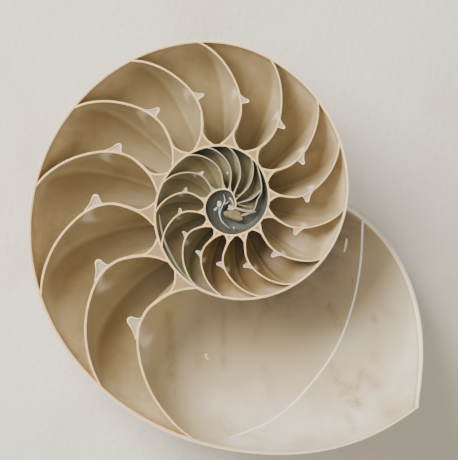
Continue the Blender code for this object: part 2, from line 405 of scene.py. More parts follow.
@dataclass
class Draft:
    """Corners, faces and named point values of one piece, in the shell's millimetres."""

    corners: list[Array] = field(default_factory=list)
    faces: list[Array] = field(default_factory=list)
    values: dict[str, list[Array]] = field(default_factory=dict)
    count: int = 0

    def add(self, points: Array, faces: Array, values: dict[str, Array]) -> None:
        """Add corners with their faces.

        Args:
            points: Corners, one per row.
            faces: Corner numbers of each face, counted from the first point.
            values: Named values, one per corner. A missing name reads as 0.
        """
        for name in list(self.values) + list(values):
            held = self.values.setdefault(name, [np.zeros(self.count)] if self.count else [])
            if sum(len(block) for block in held) == self.count:
                new = values.get(name, 0.0)
                held.append(np.broadcast_to(new, len(points)).astype(float))
        self.corners.append(points)
        self.faces.append(faces + self.count)
        self.count += len(points)

    def add_sheet(self, points: Array, values: dict[str, Array], look: Side, at: Array,
                  closed: bool = False) -> None:
        """Add a grid of four-sided faces.

        Args:
            points: Grid of corners, rows by columns by three.
            values: Named values on the same grid.
            look: Whether the faces look towards the point or away from it.
            at: The point.
            closed: Whether each row is a closed loop.
        """
        rows, columns = points.shape[:2]
        numbers = np.arange(rows * columns).reshape(rows, columns)
        if closed:
            numbers = np.concatenate((numbers, numbers[:, :1]), axis=1)
        quads = np.stack((numbers[:-1, :-1], numbers[:-1, 1:], numbers[1:, 1:],
                          numbers[1:, :-1]), axis=-1).reshape(-1, 4)
        flat = points.reshape(-1, 3)
        corner = flat[quads]
        normal = np.cross(corner[:, 2] - corner[:, 0], corner[:, 3] - corner[:, 1])
        facing = np.einsum("ij,ij->", normal, np.asarray(at) - corner.mean(axis=1))
        if facing * look.value < 0:
            quads = quads[:, ::-1]
        spread = {name: np.broadcast_to(value, (rows, columns)).reshape(-1)
                  for name, value in values.items()}
        self.add(flat, quads, spread)

    def to_object(self, name: str, material: bpy.types.Material) -> bpy.types.Object:
        """Build the piece, dress it and let it ride on the shell's body.

        Args:
            name: The piece's name.
            material: Its finish.

        Returns:
            The new object.
        """
        corners = POSE.to_world(np.concatenate(self.corners))
        faces = [tuple(face) for block in self.faces for face in block.tolist()]
        mesh = bpy.data.meshes.new(name)
        mesh.from_pydata(corners.tolist(), [], faces)
        mesh.shade_smooth()
        for key, blocks in self.values.items():
            layer = mesh.attributes.new(key, "FLOAT", "POINT")
            layer.data.foreach_set("value", np.concatenate(blocks).astype(np.float32))
        work = bmesh.new()
        work.from_mesh(mesh)
        bmesh.ops.dissolve_degenerate(work, dist=FLAT_FACE_M, edges=work.edges)
        work.to_mesh(mesh)
        work.free()
        mesh.materials.append(material)
        piece = new_object(name, mesh)
        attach(piece, BODY)
        LOG.info("%s: %d corners, %d faces", name, len(corners), len(faces))
        return piece


class Socket(Enum):
    """Kinds of sockets on a shader node group."""

    NUMBER = "NodeSocketFloat"
    COLOR = "NodeSocketColor"
    VECTOR = "NodeSocketVector"


class Nodes:
    """A node tree with short calls to place and join nodes."""

    def __init__(self, tree: bpy.types.NodeTree) -> None:
        """Keep the tree."""
        self.tree = tree

    def add(self, kind: str, inputs: dict | None = None, **settings: object) -> bpy.types.Node:
        """Place a node.

        Args:
            kind: Blender's name of the node type.
            inputs: Values or sockets for its inputs, by name or number.
            settings: Properties of the node.

        Returns:
            The new node.
        """
        node = self.tree.nodes.new(kind)
        for key, value in settings.items():
            setattr(node, key, value)
        for key, value in (inputs or {}).items():
            self.put(node.inputs[key], value)
        return node

    def put(self, socket: bpy.types.NodeSocket, value: object) -> None:
        """Join a socket to an input, or set the input's own value.

        Args:
            socket: The input.
            value: A socket to join, or a value to set.
        """
        if isinstance(value, bpy.types.NodeSocket):
            self.tree.links.new(value, socket)
        elif isinstance(value, tuple) and len(value) == 3 and socket.type == "RGBA":
            socket.default_value = (*value, 1.0)
        else:
            socket.default_value = value

    def value(self, name: str) -> bpy.types.NodeSocket:
        """Read a named value of the mesh."""
        return self.add("ShaderNodeAttribute", attribute_name=name).outputs["Fac"]

    def math(self, kind: str, *inputs: object) -> bpy.types.NodeSocket:
        """Work out a number from others."""
        return self.add("ShaderNodeMath", dict(enumerate(inputs)), operation=kind).outputs[0]

    def span(self, value: object, low: float, high: float, first: float = 0.0,
             last: float = 1.0) -> bpy.types.NodeSocket:
        """Map a range smoothly onto another, held at both ends.

        Args:
            value: The number or socket to map.
            low: Where the range starts.
            high: Where it ends.
            first: The result at the start.
            last: The result at the end.

        Returns:
            The mapped number.
        """
        node = self.add("ShaderNodeMapRange", {"Value": value, "From Min": low, "From Max": high,
                                               "To Min": first, "To Max": last},
                        interpolation_type="SMOOTHSTEP")
        return node.outputs["Result"]

    def mix(self, share: object, first: object, second: object,
            kind: str = "MIX") -> bpy.types.NodeSocket:
        """Blend two colors.

        Args:
            share: Share of the second color.
            first: The first color.
            second: The second color.
            kind: Blender's name of the way to blend.

        Returns:
            The blended color.
        """
        node = self.add("ShaderNodeMix", data_type="RGBA", blend_type=kind)
        self.put(node.inputs["Factor"], share)
        self.put(node.inputs["A"], first)
        self.put(node.inputs["B"], second)
        return node.outputs["Result"]

    def group(self, tree: bpy.types.NodeTree, inputs: dict) -> bpy.types.Node:
        """Place a node group with its own values.

        Args:
            tree: The group.
            inputs: Values or sockets for its inputs, by name.

        Returns:
            The group's node.
        """
        node = self.tree.nodes.new("ShaderNodeGroup")
        node.node_tree = tree
        for key, value in inputs.items():
            self.put(node.inputs[key], value)
        return node


def new_group(name: str, inputs: dict[str, tuple[Socket, object]],
              outputs: dict[str, Socket]) -> tuple[bpy.types.NodeTree, Nodes, bpy.types.Node,
                                                   bpy.types.Node]:
    """Start a shader node group.

    Args:
        name: The group's name.
        inputs: Kind and value of each input.
        outputs: Kind of each output.

    Returns:
        The group's tree, its node helper, its input node and its output node.
    """
    tree = bpy.data.node_groups.new(name, "ShaderNodeTree")
    for label, (kind, value) in inputs.items():
        socket = tree.interface.new_socket(name=label, in_out="INPUT", socket_type=kind.value)
        if value is not None:
            socket.default_value = (*value, 1.0) if kind is Socket.COLOR else value
    for label, kind in outputs.items():
        tree.interface.new_socket(name=label, in_out="OUTPUT", socket_type=kind.value)
    nodes = Nodes(tree)
    return tree, nodes, nodes.add("NodeGroupInput"), nodes.add("NodeGroupOutput")


class Effects:
    """Shader node groups that several finishes share."""

    def __init__(self) -> None:
        """Build every group once."""
        self.clouds = self.build_clouds()
        self.growth_lines = self.build_growth_lines()
        self.grain = self.build_grain()

    def build_clouds(self) -> bpy.types.NodeTree:
        """Build soft patches of a second color.

        Returns:
            The group.
        """
        tree, nodes, source, sink = new_group(
            "soft_clouds",
            {"Color": (Socket.COLOR, (1, 1, 1)), "Patch": (Socket.COLOR, (0, 0, 0)),
             "Scale": (Socket.NUMBER, 60.0), "Amount": (Socket.NUMBER, 0.3),
             "Warp": (Socket.NUMBER, 0.6)},
            {"Color": Socket.COLOR, "Mask": Socket.NUMBER})
        spot = nodes.add("ShaderNodeTexCoord").outputs["Object"]
        noise = nodes.add("ShaderNodeTexNoise", {
            "Vector": spot, "Scale": source.outputs["Scale"], "Detail": 4.0,
            "Roughness": 0.55, "Distortion": source.outputs["Warp"]})
        mask = nodes.span(noise.outputs["Fac"], 0.42, 0.68)
        mask = nodes.math("MULTIPLY", mask, source.outputs["Amount"])
        nodes.put(sink.inputs["Color"],
                  nodes.mix(mask, source.outputs["Color"], source.outputs["Patch"]))
        nodes.put(sink.inputs["Mask"], mask)
        return tree

    def build_growth_lines(self) -> bpy.types.NodeTree:
        """Build fine streaks that follow the growth of the shell.

        Returns:
            The group.
        """
        tree, nodes, source, sink = new_group(
            "growth_lines",
            {"Color": (Socket.COLOR, (1, 1, 1)), "Streak": (Socket.COLOR, (0, 0, 0)),
             "Along": (Socket.NUMBER, 90.0), "Across": (Socket.NUMBER, 3.0),
             "Amount": (Socket.NUMBER, 0.3)},
            {"Color": Socket.COLOR, "Height": Socket.NUMBER})
        along = nodes.math("MULTIPLY", nodes.value("turns"), source.outputs["Along"])
        across = nodes.math("MULTIPLY", nodes.value("row"), source.outputs["Across"])
        third = nodes.math("MULTIPLY", nodes.value("across"), 4.0)
        spot = nodes.add("ShaderNodeCombineXYZ", {0: along, 1: across, 2: third})
        noise = nodes.add("ShaderNodeTexNoise", {
            "Vector": spot.outputs[0], "Scale": 1.0, "Detail": 5.0, "Roughness": 0.6,
            "Distortion": 0.4})
        mask = nodes.span(noise.outputs["Fac"], 0.4, 0.7)
        share = nodes.math("MULTIPLY", mask, source.outputs["Amount"])
        nodes.put(sink.inputs["Color"],
                  nodes.mix(share, source.outputs["Color"], source.outputs["Streak"]))
        nodes.put(sink.inputs["Height"], noise.outputs["Fac"])
        return tree

    def build_grain(self) -> bpy.types.NodeTree:
        """Build a fine uneven height for a surface.

        Returns:
            The group.
        """
        tree, nodes, source, sink = new_group(
            "fine_grain",
            {"Fine": (Socket.NUMBER, 900.0), "Coarse": (Socket.NUMBER, 140.0),
             "Share": (Socket.NUMBER, 0.5)},
            {"Height": Socket.NUMBER})
        spot = nodes.add("ShaderNodeTexCoord").outputs["Object"]
        fine = nodes.add("ShaderNodeTexNoise", {
            "Vector": spot, "Scale": source.outputs["Fine"], "Detail": 3.0})
        coarse = nodes.add("ShaderNodeTexNoise", {
            "Vector": spot, "Scale": source.outputs["Coarse"], "Detail": 4.0})
        share = source.outputs["Share"]
        rest = nodes.math("SUBTRACT", 1.0, share)
        height = nodes.math("ADD", nodes.math("MULTIPLY", fine.outputs["Fac"], share),
                            nodes.math("MULTIPLY", coarse.outputs["Fac"], rest))
        nodes.put(sink.inputs["Height"], height)
        return tree


def new_material(name: str, roughness: float, **sockets: object) -> tuple[
        bpy.types.Material, Nodes, bpy.types.Node]:
    """Start a material with one Principled shader.

    Args:
        name: The material's name.
        roughness: The shader's roughness.
        sockets: Other constant inputs, with underscores for spaces.

    Returns:
        The material, its node helper and its shader.
    """
    material = bpy.data.materials.new(name)
    material.use_nodes = True
    nodes = Nodes(material.node_tree)
    shader = material.node_tree.nodes["Principled BSDF"]
    shader.inputs["Roughness"].default_value = roughness
    for key, value in sockets.items():
        nodes.put(shader.inputs[key.replace("_", " ")], value)
    return material, nodes, shader


def add_bump(nodes: Nodes, shader: bpy.types.Node, height: bpy.types.NodeSocket,
             strength: float, distance: float) -> None:
    """Let a height stand in the shader's normal.

    Args:
        nodes: The material's node helper.
        shader: The Principled shader.
        height: The height.
        strength: Strength of the bump.
        distance: Height of a full step, in metres.
    """
    bump = nodes.add("ShaderNodeBump", {"Strength": strength, "Distance": distance,
                                        "Height": height})
    nodes.put(shader.inputs["Normal"], bump.outputs["Normal"])


@dataclass(frozen=True)
class NacreFinish:
    """Satin lining of the closed chambers."""

    name: str
    gold: Color
    brown: Color
    taupe: Color
    septum: Color
    # Painted shade in the crease and at the chamber's rear; also the colour of the darker soft
    # patches.
    shade_and_patch: Color
    tongue: Color
    streak: Color
    rim: Color = shade(178, 140, 84)
    gold_rows: tuple[float, float] = (0.2, 2.2)
    streaks: float = 0.3
    roughness: float = 0.5
    coat: float = 0.1

    def build(self, effects: Effects) -> bpy.types.Material:
        """Build the material.

        Args:
            effects: The shared node groups.

        Returns:
            The material.
        """
        material, nodes, shader = new_material(self.name, self.roughness, Coat_Weight=self.coat,
                                               Coat_Roughness=0.25, Specular_IOR_Level=0.4)
        row = nodes.value("row")
        ahead = nodes.value("ahead")
        # Colour by depth below the cut, partly painted light and shade: the gold near the cut
        # stands in for light coming through the thin wall, the brown lower down for shade deep in
        # the chamber.
        color = nodes.mix(nodes.span(row, *self.gold_rows), self.gold, self.brown)
        color = nodes.mix(nodes.span(row, 2.4, 4.4), color, self.taupe)
        color = nodes.mix(nodes.value("dorsal"), color, self.taupe)
        # Painted shade in the crease where the septum's front face meets the chamber wall.
        shadow = nodes.math("MULTIPLY", nodes.span(ahead, 0.6, 0.05), nodes.span(row, 0.3, 1.4))
        color = nodes.mix(nodes.math("MULTIPLY", shadow, 0.6), color, self.shade_and_patch)
        lines = nodes.group(effects.growth_lines, {
            "Color": color, "Streak": self.streak, "Along": 60.0, "Across": 1.2,
            "Amount": self.streaks})
        band = nodes.span(nodes.value("septum"), 0.25, 0.75)
        color = nodes.mix(band, lines.outputs["Color"], self.septum)
        color = nodes.mix(nodes.span(row, 0.9, 0.1, 0.0, 0.45), color, self.rim)
        # Painted shade on the chamber's rear face, under the next septum's overhang.
        color = nodes.mix(nodes.math("MULTIPLY", nodes.value("rear"), 0.5), color, self.shade_and_patch)
        clouds = nodes.group(effects.clouds, {
            "Color": color, "Patch": self.shade_and_patch, "Scale": 70.0, "Amount": 0.25, "Warp": 0.8})
        # The pale tongue beside each neck: the funnel's pale nacre with a painted highlight.
        color = nodes.mix(nodes.value("tongue"), clouds.outputs["Color"], self.tongue)
        nodes.put(shader.inputs["Base Color"], color)
        grain = nodes.group(effects.grain, {"Fine": 1500.0, "Coarse": 260.0, "Share": 0.35})
        add_bump(nodes, shader, grain.outputs["Height"], 0.35, 0.0003)
        rough = nodes.math("ADD", self.roughness - 0.08,
                           nodes.math("MULTIPLY", clouds.outputs["Mask"], 0.5))
        nodes.put(shader.inputs["Roughness"], rough)
        return material


@dataclass(frozen=True)
class HollowFinish:
    """Charcoal hollow of the first turn, running out into a slate-grey band."""

    name: str = "hollow_nacre"
    charcoal: Color = shade(62, 61, 53)
    slate: Color = shade(68, 71, 59)
    pale: Color = shade(108, 112, 104)

    def build(self, effects: Effects) -> bpy.types.Material:
        """Build the material.

        Args:
            effects: The shared node groups.

        Returns:
            The material.
        """
        material, nodes, shader = new_material(self.name, 0.45, Specular_IOR_Level=0.45)
        later = nodes.span(nodes.value("turns"), -1.4, -1.12)
        color = nodes.mix(later, self.charcoal, self.slate)
        lines = nodes.group(effects.growth_lines, {
            "Color": color, "Streak": self.pale, "Along": 8.0, "Across": 2.4, "Amount": 0.3})
        clouds = nodes.group(effects.clouds, {
            "Color": lines.outputs["Color"], "Patch": self.charcoal, "Scale": 260.0,
            "Amount": 0.55, "Warp": 0.9})
        nodes.put(shader.inputs["Base Color"], clouds.outputs["Color"])
        grain = nodes.group(effects.grain, {"Fine": 1500.0, "Coarse": 400.0, "Share": 0.4})
        add_bump(nodes, shader, grain.outputs["Height"], 0.3, 0.0002)
        rough = nodes.math("ADD", 0.4, nodes.math("MULTIPLY", clouds.outputs["Mask"], 0.3))
        nodes.put(shader.inputs["Roughness"], rough)
        return material


@dataclass(frozen=True)
class LiningFinish:
    """Pale satin lining of the living chamber, with faint brown marbling."""

    name: str = "living_lining"
    pale: Color = shade(222, 207, 180)
    white: Color = shade(248, 241, 228)
    taupe: Color = shade(178, 159, 121)
    side: Color = shade(190, 169, 128)
    brown: Color = shade(104, 82, 49)
    smudge: Color = shade(138, 102, 60)
    rim: Color = shade(170, 132, 80)
    tongue: Color = shade(246, 228, 190)
    lip: Color = shade(250, 230, 194)
    # Colour of the painted shade line just inside the lip.
    lip_shadow_line: Color = shade(176, 152, 116)

    def build(self, effects: Effects) -> bpy.types.Material:
        """Build the material.

        Args:
            effects: The shared node groups.

        Returns:
            The material.
        """
        material, nodes, shader = new_material(self.name, 0.42, Coat_Weight=0.15,
                                               Coat_Roughness=0.2, Specular_IOR_Level=0.45)
        row = nodes.value("row")
        # Painted shade: the lining darkens from pale to taupe and brown deeper down, in the back
        # corner at the last septum and on the dorsal wall, where the inner whorl overhangs it.
        color = nodes.mix(nodes.span(row, 1.6, 3.6), self.pale, self.taupe)
        color = nodes.mix(nodes.span(row, 3.2, 4.7), color, self.brown)
        side = nodes.math("MULTIPLY", nodes.span(nodes.value("ahead"), 0.34, 0.02), 0.85)
        color = nodes.mix(side, color, self.taupe)
        color = nodes.mix(nodes.value("dorsal"), color, self.brown)
        color = nodes.mix(nodes.value("septum"), color, self.side)
        rim = nodes.math("MULTIPLY", nodes.span(row, 1.3, 0.1, 0.0, 0.55), nodes.value("septum"))
        color = nodes.mix(rim, color, self.rim)
        clouds = nodes.group(effects.clouds, {
            "Color": color, "Patch": self.taupe, "Scale": 26.0, "Amount": 0.6, "Warp": 0.7})
        pale = nodes.mix(nodes.span(row, 1.0, 2.6), self.white, clouds.outputs["Color"])
        bloom = nodes.group(effects.clouds, {
            "Color": clouds.outputs["Color"], "Patch": pale, "Scale": 34.0, "Amount": 0.45,
            "Warp": 0.6})
        smudged = nodes.mix(self.smudge_mask(nodes), bloom.outputs["Color"], self.smudge)
        lines = nodes.group(effects.growth_lines, {
            "Color": smudged, "Streak": self.taupe, "Along": 34.0,
            "Across": 0.6, "Amount": 0.3})
        # The pale tongue beside the last neck: the funnel's pale nacre with a painted highlight.
        color = nodes.mix(nodes.value("tongue"), lines.outputs["Color"], self.tongue)
        ahead = nodes.value("ahead")
        # Painted shade: a thin darker line just inside the lip, then the lip's own cream sawn
        # edge.
        color = nodes.mix(nodes.span(ahead, 0.972, 0.988, 0.0, 0.6), color, self.lip_shadow_line)
        color = nodes.mix(nodes.span(ahead, 0.988, 0.992), color, self.lip)
        nodes.put(shader.inputs["Base Color"], color)
        grain = nodes.group(effects.grain, {"Fine": 1300.0, "Coarse": 200.0, "Share": 0.3})
        add_bump(nodes, shader, grain.outputs["Height"], 0.35, 0.0003)
        rough = nodes.math("ADD", 0.36, nodes.math("MULTIPLY", clouds.outputs["Mask"], 0.5))
        nodes.put(shader.inputs["Roughness"], rough)
        return material

    def smudge_mask(self, nodes: Nodes) -> bpy.types.NodeSocket:
        """Return a broken mask of the brown smudges towards the mouth.

        Args:
            nodes: The material's node helper.

        Returns:
            The mask.
        """
        spot = nodes.add("ShaderNodeTexCoord").outputs["Object"]
        noise = nodes.add("ShaderNodeTexNoise", {
            "Vector": spot, "Scale": 130.0, "Detail": 4.0, "Roughness": 0.6, "Distortion": 0.8})
        broken = nodes.span(noise.outputs["Fac"], 0.3, 0.6, 0.15, 1.0)
        return nodes.math("MULTIPLY", nodes.value("smudge"), broken)


@dataclass(frozen=True)
class SawnFinish:
    """Matt sawn edge of the walls: cream lines around a tan core."""

    name: str = "sawn_edge"
    cream: Color = shade(240, 202, 138)
    white: Color = shade(242, 216, 172)
    tan: Color = shade(158, 130, 90)
    seam: Color = shade(170, 142, 106)
    dull: Color = shade(160, 152, 122)

    def build(self, effects: Effects) -> bpy.types.Material:
        """Build the material.

        Args:
            effects: The shared node groups.

        Returns:
            The material.
        """
        material, nodes, shader = new_material(self.name, 0.55, Specular_IOR_Level=0.35)
        edge = nodes.value("edge")
        skin = nodes.value("skin")
        clouds = nodes.group(effects.clouds, {
            "Color": self.cream, "Patch": self.tan, "Scale": 300.0, "Amount": 0.3, "Warp": 0.5})
        color = nodes.mix(nodes.span(edge, 0.5, 0.85), clouds.outputs["Color"], self.tan)
        color = nodes.mix(nodes.value("dull"), color, self.dull)
        color = nodes.mix(nodes.span(skin, 0.95, 0.55), color, self.white)
        seam = nodes.math("MULTIPLY", nodes.span(skin, 0.55, 0.75), nodes.span(skin, 0.95, 0.75))
        color = nodes.mix(nodes.math("MULTIPLY", seam, 0.6), color, self.seam)
        nodes.put(shader.inputs["Base Color"], color)
        grain = nodes.group(effects.grain, {"Fine": 2600.0, "Coarse": 500.0, "Share": 0.5})
        add_bump(nodes, shader, grain.outputs["Height"], 0.4, 0.0002)
        rough = nodes.span(grain.outputs["Height"], 0.3, 0.7, 0.45, 0.65)
        nodes.put(shader.inputs["Roughness"], rough)
        return material


@dataclass(frozen=True)
class PorcelainFinish:
    """Outer surface: porcelain white with brown flames on the older part."""

    name: str = "outer_porcelain"
    white: Color = shade(232, 222, 204)
    flame: Color = shade(126, 76, 40)
    callus: Color = shade(214, 200, 180)
    flames_a_turn: float = 17.0
    flame_lean: float = -0.32
    wave: float = 6.283

    def build(self, effects: Effects) -> bpy.types.Material:
        """Build the material.

        Args:
            effects: The shared node groups.

        Returns:
            The material.
        """
        material, nodes, shader = new_material(self.name, 0.38, Coat_Weight=0.2,
                                               Coat_Roughness=0.2)
        turns = nodes.value("turns")
        row = nodes.value("row")
        along = nodes.math("ADD", nodes.math("MULTIPLY", turns, self.flames_a_turn),
                           nodes.math("MULTIPLY", row, self.flame_lean))
        spot = nodes.add("ShaderNodeCombineXYZ", {0: along, 1: nodes.math("MULTIPLY", row, 0.55),
                                                  2: 3.1})
        wobble = nodes.add("ShaderNodeTexNoise", {
            "Vector": spot.outputs[0], "Scale": 1.7, "Detail": 3.0, "Distortion": 0.5})
        wave = nodes.math("SINE", nodes.math(
            "ADD", nodes.math("MULTIPLY", along, self.wave),
            nodes.math("MULTIPLY", wobble.outputs["Fac"], 5.0)))
        flame = nodes.span(wave, 0.15, 0.75)
        older = nodes.span(turns, 0.62, 0.35)
        flank = nodes.math("MULTIPLY", nodes.span(row, 5.6, 3.6), older)
        flame = nodes.math("MULTIPLY", flame, flank)
        clouds = nodes.group(effects.clouds, {
            "Color": self.white, "Patch": self.callus, "Scale": 40.0, "Amount": 0.6,
            "Warp": 0.8})
        lines = nodes.group(effects.growth_lines, {
            "Color": clouds.outputs["Color"], "Streak": self.callus, "Along": 160.0,
            "Across": 0.5, "Amount": 0.5})
        color = nodes.mix(nodes.math("MULTIPLY", flame, 0.85), lines.outputs["Color"],
                          self.flame)
        color = nodes.mix(nodes.span(row, 6.0, 7.5), color, self.callus)
        nodes.put(shader.inputs["Base Color"], color)
        add_bump(nodes, shader, lines.outputs["Height"], 0.3, 0.0004)
        rough = nodes.span(clouds.outputs["Mask"], 0.0, 0.6, 0.34, 0.5)
        nodes.put(shader.inputs["Roughness"], rough)
        return material


@dataclass(frozen=True)
class HornFinish:
    """Bright rim and greyish body of the septal necks."""

    name: str = "horn_nacre"
    rim: Color = shade(250, 228, 184)
    body: Color = shade(184, 166, 132)
    patch: Color = shade(176, 160, 140)

    def build(self, effects: Effects) -> bpy.types.Material:
        """Build the material.

        Args:
            effects: The shared node groups.

        Returns:
            The material.
        """
        material, nodes, shader = new_material(self.name, 0.4, Specular_IOR_Level=0.5)
        color = nodes.mix(nodes.value("rim"), self.body, self.rim)
        clouds = nodes.group(effects.clouds, {
            "Color": color, "Patch": self.patch, "Scale": 420.0, "Amount": 0.25,
            "Warp": 0.5})
        nodes.put(shader.inputs["Base Color"], clouds.outputs["Color"])
        grain = nodes.group(effects.grain, {"Fine": 2200.0, "Coarse": 600.0, "Share": 0.5})
        add_bump(nodes, shader, grain.outputs["Height"], 0.3, 0.0002)
        rough = nodes.span(grain.outputs["Height"], 0.3, 0.7, 0.32, 0.5)
        nodes.put(shader.inputs["Roughness"], rough)
        return material


@dataclass(frozen=True)
class PaleFinish:
    """Plain pale shell for small raised details."""

    name: str
    color: Color
    patch: Color
    roughness: float = 0.45

    def build(self, effects: Effects) -> bpy.types.Material:
        """Build the material.

        Args:
            effects: The shared node groups.

        Returns:
            The material.
        """
        material, nodes, shader = new_material(self.name, self.roughness)
        clouds = nodes.group(effects.clouds, {
            "Color": self.color, "Patch": self.patch, "Scale": 700.0, "Amount": 0.5,
            "Warp": 0.6})
        nodes.put(shader.inputs["Base Color"], clouds.outputs["Color"])
        grain = nodes.group(effects.grain, {"Fine": 2500.0, "Coarse": 700.0, "Share": 0.5})
        add_bump(nodes, shader, grain.outputs["Height"], 0.3, 0.0001)
        return material


@dataclass(frozen=True)
class PlasterFinish:
    """Pale plaster under the shell, with the shell's shadow painted on it towards the lower
    right.
    """

    name: str = "pale_plaster"
    pale: Color = shade(241, 235, 220)
    grey: Color = shade(220, 212, 194)
    # Colour of the shell's shadow painted on the plaster.
    painted_shadow: Color = shade(176, 166, 142)

    def build(self, effects: Effects) -> bpy.types.Material:
        """Build the material.

        Args:
            effects: The shared node groups.

        Returns:
            The material.
        """
        material, nodes, shader = new_material(self.name, 0.85, Specular_IOR_Level=0.2)
        clouds = nodes.group(effects.clouds, {
            "Color": self.pale, "Patch": self.grey, "Scale": 14.0, "Amount": 0.6, "Warp": 0.9})
        # Painted shadow of the shell: the plaster darkens in a band towards the lower right.
        spot = nodes.add("ShaderNodeTexCoord").outputs["Object"]
        parts = nodes.add("ShaderNodeSeparateXYZ", {"Vector": spot})
        lean = nodes.math("SUBTRACT", nodes.math("MULTIPLY", parts.outputs["X"], 0.8),
                          nodes.math("MULTIPLY", parts.outputs["Y"], 0.5))
        near = nodes.math("MULTIPLY", nodes.span(lean, 0.0, 0.13, 0.0, 0.75),
                          nodes.span(lean, 0.4, 0.18))
        color = nodes.mix(near, clouds.outputs["Color"], self.painted_shadow)
        nodes.put(shader.inputs["Base Color"], color)
        grain = nodes.group(effects.grain, {"Fine": 420.0, "Coarse": 60.0, "Share": 0.4})
        add_bump(nodes, shader, grain.outputs["Height"], 0.35, 0.002)
        return material


@dataclass
class Pocket:
    """One closed chamber's lining, as rounded loops from the cut downwards."""

    start: Callable[[Array, Array], Array]
    end: Callable[[Array, Array], Array]
    middle: float
    levels: int = 30
    across_points: int = 40
    along_points: int = 30
    corner_points: int = 6
    has_tongue: bool = True
    cut_corner: float = 0.12
    deep_corner: float = 2.6
    dorsal_corner: float = 2.2
    corner_size_mm: float = 70.0
    row_power: float = 1.45
    cap_rows: float = 0.12
    caps: int = 5
    winds: bool = False
    stretch: float = 1.0

    def near_share(self, growth: Array) -> Array:
        """Return the share across at which the lining begins beside the inner wall.

        Args:
            growth: Angle of growth in degrees.

        Returns:
            The share, 0 at the inner wall.
        """
        if not self.winds:
            return 0 * growth
        return (1 - band_share(growth)) * ease(-394.0, -374.0, growth)

    def far_share(self, growth: Array) -> Array:
        """Return the share across at which the lining ends beside the outer wall.

        Args:
            growth: Angle of growth in degrees.

        Returns:
            The share, 1 at the outer wall.
        """
        if self.winds:
            return 1 + 0 * growth
        band = band_share(growth) * (growth < BAND_DEG[-1]) * (self.middle < -280)
        return 1 - band - 0.04 * ease(0.0, 0.06, band)

    def depth_share(self, growth: Array) -> Array:
        """Return how deep the lining goes, as a share of the full section.

        Args:
            growth: Angle of growth in degrees.

        Returns:
            The share, 1 at the full depth.
        """
        if not self.winds:
            return 1 + 0 * growth
        return 1 - 0.7 * ease(-490.0, -392.0, growth)

    def loop(self, row: Array, near: Array, far: Array) -> tuple[Array, Array, Array]:
        """Return one rounded loop per row.

        Args:
            row: Rows of the section, as a column.
            near: Corner radius beside the inner wall, as a share of the chamber, by row.
            far: Corner radius beside the outer wall, likewise.

        Returns:
            The shares across and ahead, and the quarter that each point belongs to.
        """
        bend = np.linspace(0, math.pi / 2, self.corner_points + 2)[1:-1]
        even = np.linspace(0, 1, self.across_points)
        even = even - 0.12 * np.sin(2 * math.pi * even) / (2 * math.pi)
        along = np.linspace(0, 1, self.along_points)
        across_parts = [near + (1 - far - near) * even, 1 - far + far * np.sin(bend),
                        np.ones_like(row) * np.ones_like(along), 1 - far + far * np.cos(bend),
                        1 - far - (1 - far - near) * even, near - near * np.sin(bend),
                        np.zeros_like(row) * np.zeros_like(along), near - near * np.cos(bend)]
        far_ahead = far * self.stretch
        near_ahead = near * self.stretch
        ahead_parts = [0 * row + 0 * even, far_ahead - far_ahead * np.cos(bend),
                       far_ahead + (1 - 2 * far_ahead) * along,
                       1 - far_ahead + far_ahead * np.sin(bend),
                       1 + 0 * row + 0 * even, 1 - near_ahead + near_ahead * np.cos(bend),
                       1 - near_ahead - (1 - 2 * near_ahead) * along,
                       near_ahead - near_ahead * np.sin(bend)]
        ones = np.ones_like(bend)
        turn = np.arange(1, self.corner_points + 1) / (self.corner_points + 1)
        quarter = np.concatenate((np.zeros(len(even)), turn, np.ones(len(along)), ones + turn,
                                  2 * np.ones(len(even)), 2 * ones + turn,
                                  3 * np.ones(len(along)), 3 * ones + turn))
        return (np.concatenate(across_parts, axis=1), np.concatenate(ahead_parts, axis=1),
                quarter)

    def build(self, draft: Draft) -> Array:
        """Add the lining to a draft.

        Args:
            draft: The draft of the piece.

        Returns:
            The chamber's rim on the cut.
        """
        size = float(FORM.radius(self.middle))
        width = size - float(FORM.radius(self.middle - 360))
        ends = self.end(0.6, 0.0) - self.start(0.6, 0.0)
        length = math.radians(float(ends)) * (size - 0.4 * width)
        self.stretch = min(width / length, 3.0)
        share = np.linspace(0, 1, self.levels)[:, None]
        row = FORM.chamber_row * share ** self.row_power
        open_up = ease(0.0, 1.3, row)
        limit = 0.3 * min(width, length)
        far, near = (
            (self.cut_corner + min(most * size / self.corner_size_mm, limit) * open_up) / width
            for most in (self.deep_corner, self.dorsal_corner))
        near = np.minimum(near, 0.25)
        across, ahead, quarter = self.loop(row, near, far)
        row = np.broadcast_to(row, across.shape)
        bend = np.linspace(0, math.pi / 2, self.caps + 1)[1:, None]
        shrink = np.cos(bend)
        across = np.concatenate((across, 0.5 + (across[-1:] - 0.5) * shrink))
        ahead_caps = ahead[-1:] + 0 * shrink if self.winds else 0.5 + (ahead[-1:] - 0.5) * shrink
        ahead = np.concatenate((ahead, ahead_caps))
        sink = self.cap_rows * np.sin(bend)
        row = np.concatenate((row, FORM.chamber_row + sink + 0 * row[-1:]))
        held = np.minimum(row, FORM.chamber_row)
        share_across = across
        for _ in range(3):
            first = self.start(share_across, held)
            growth = first + (self.end(share_across, held) - first) * ahead
            near_side = self.near_share(growth)
            share_across = near_side + (self.far_share(growth) - near_side) * across
        deep = row * self.depth_share(growth)
        held = np.minimum(deep, FORM.chamber_row)
        points = FORM.place(growth, deep, FORM.reach(growth, held, share_across))
        points[0, :, 2] = -rim_drop(size)
        on_septum = np.interp(quarter, (0, 1, 3, 4), (1, 0, 0, 1))
        dorsal = np.interp(quarter, (0, 2, 3, 4), (0, 0, 1, 0))
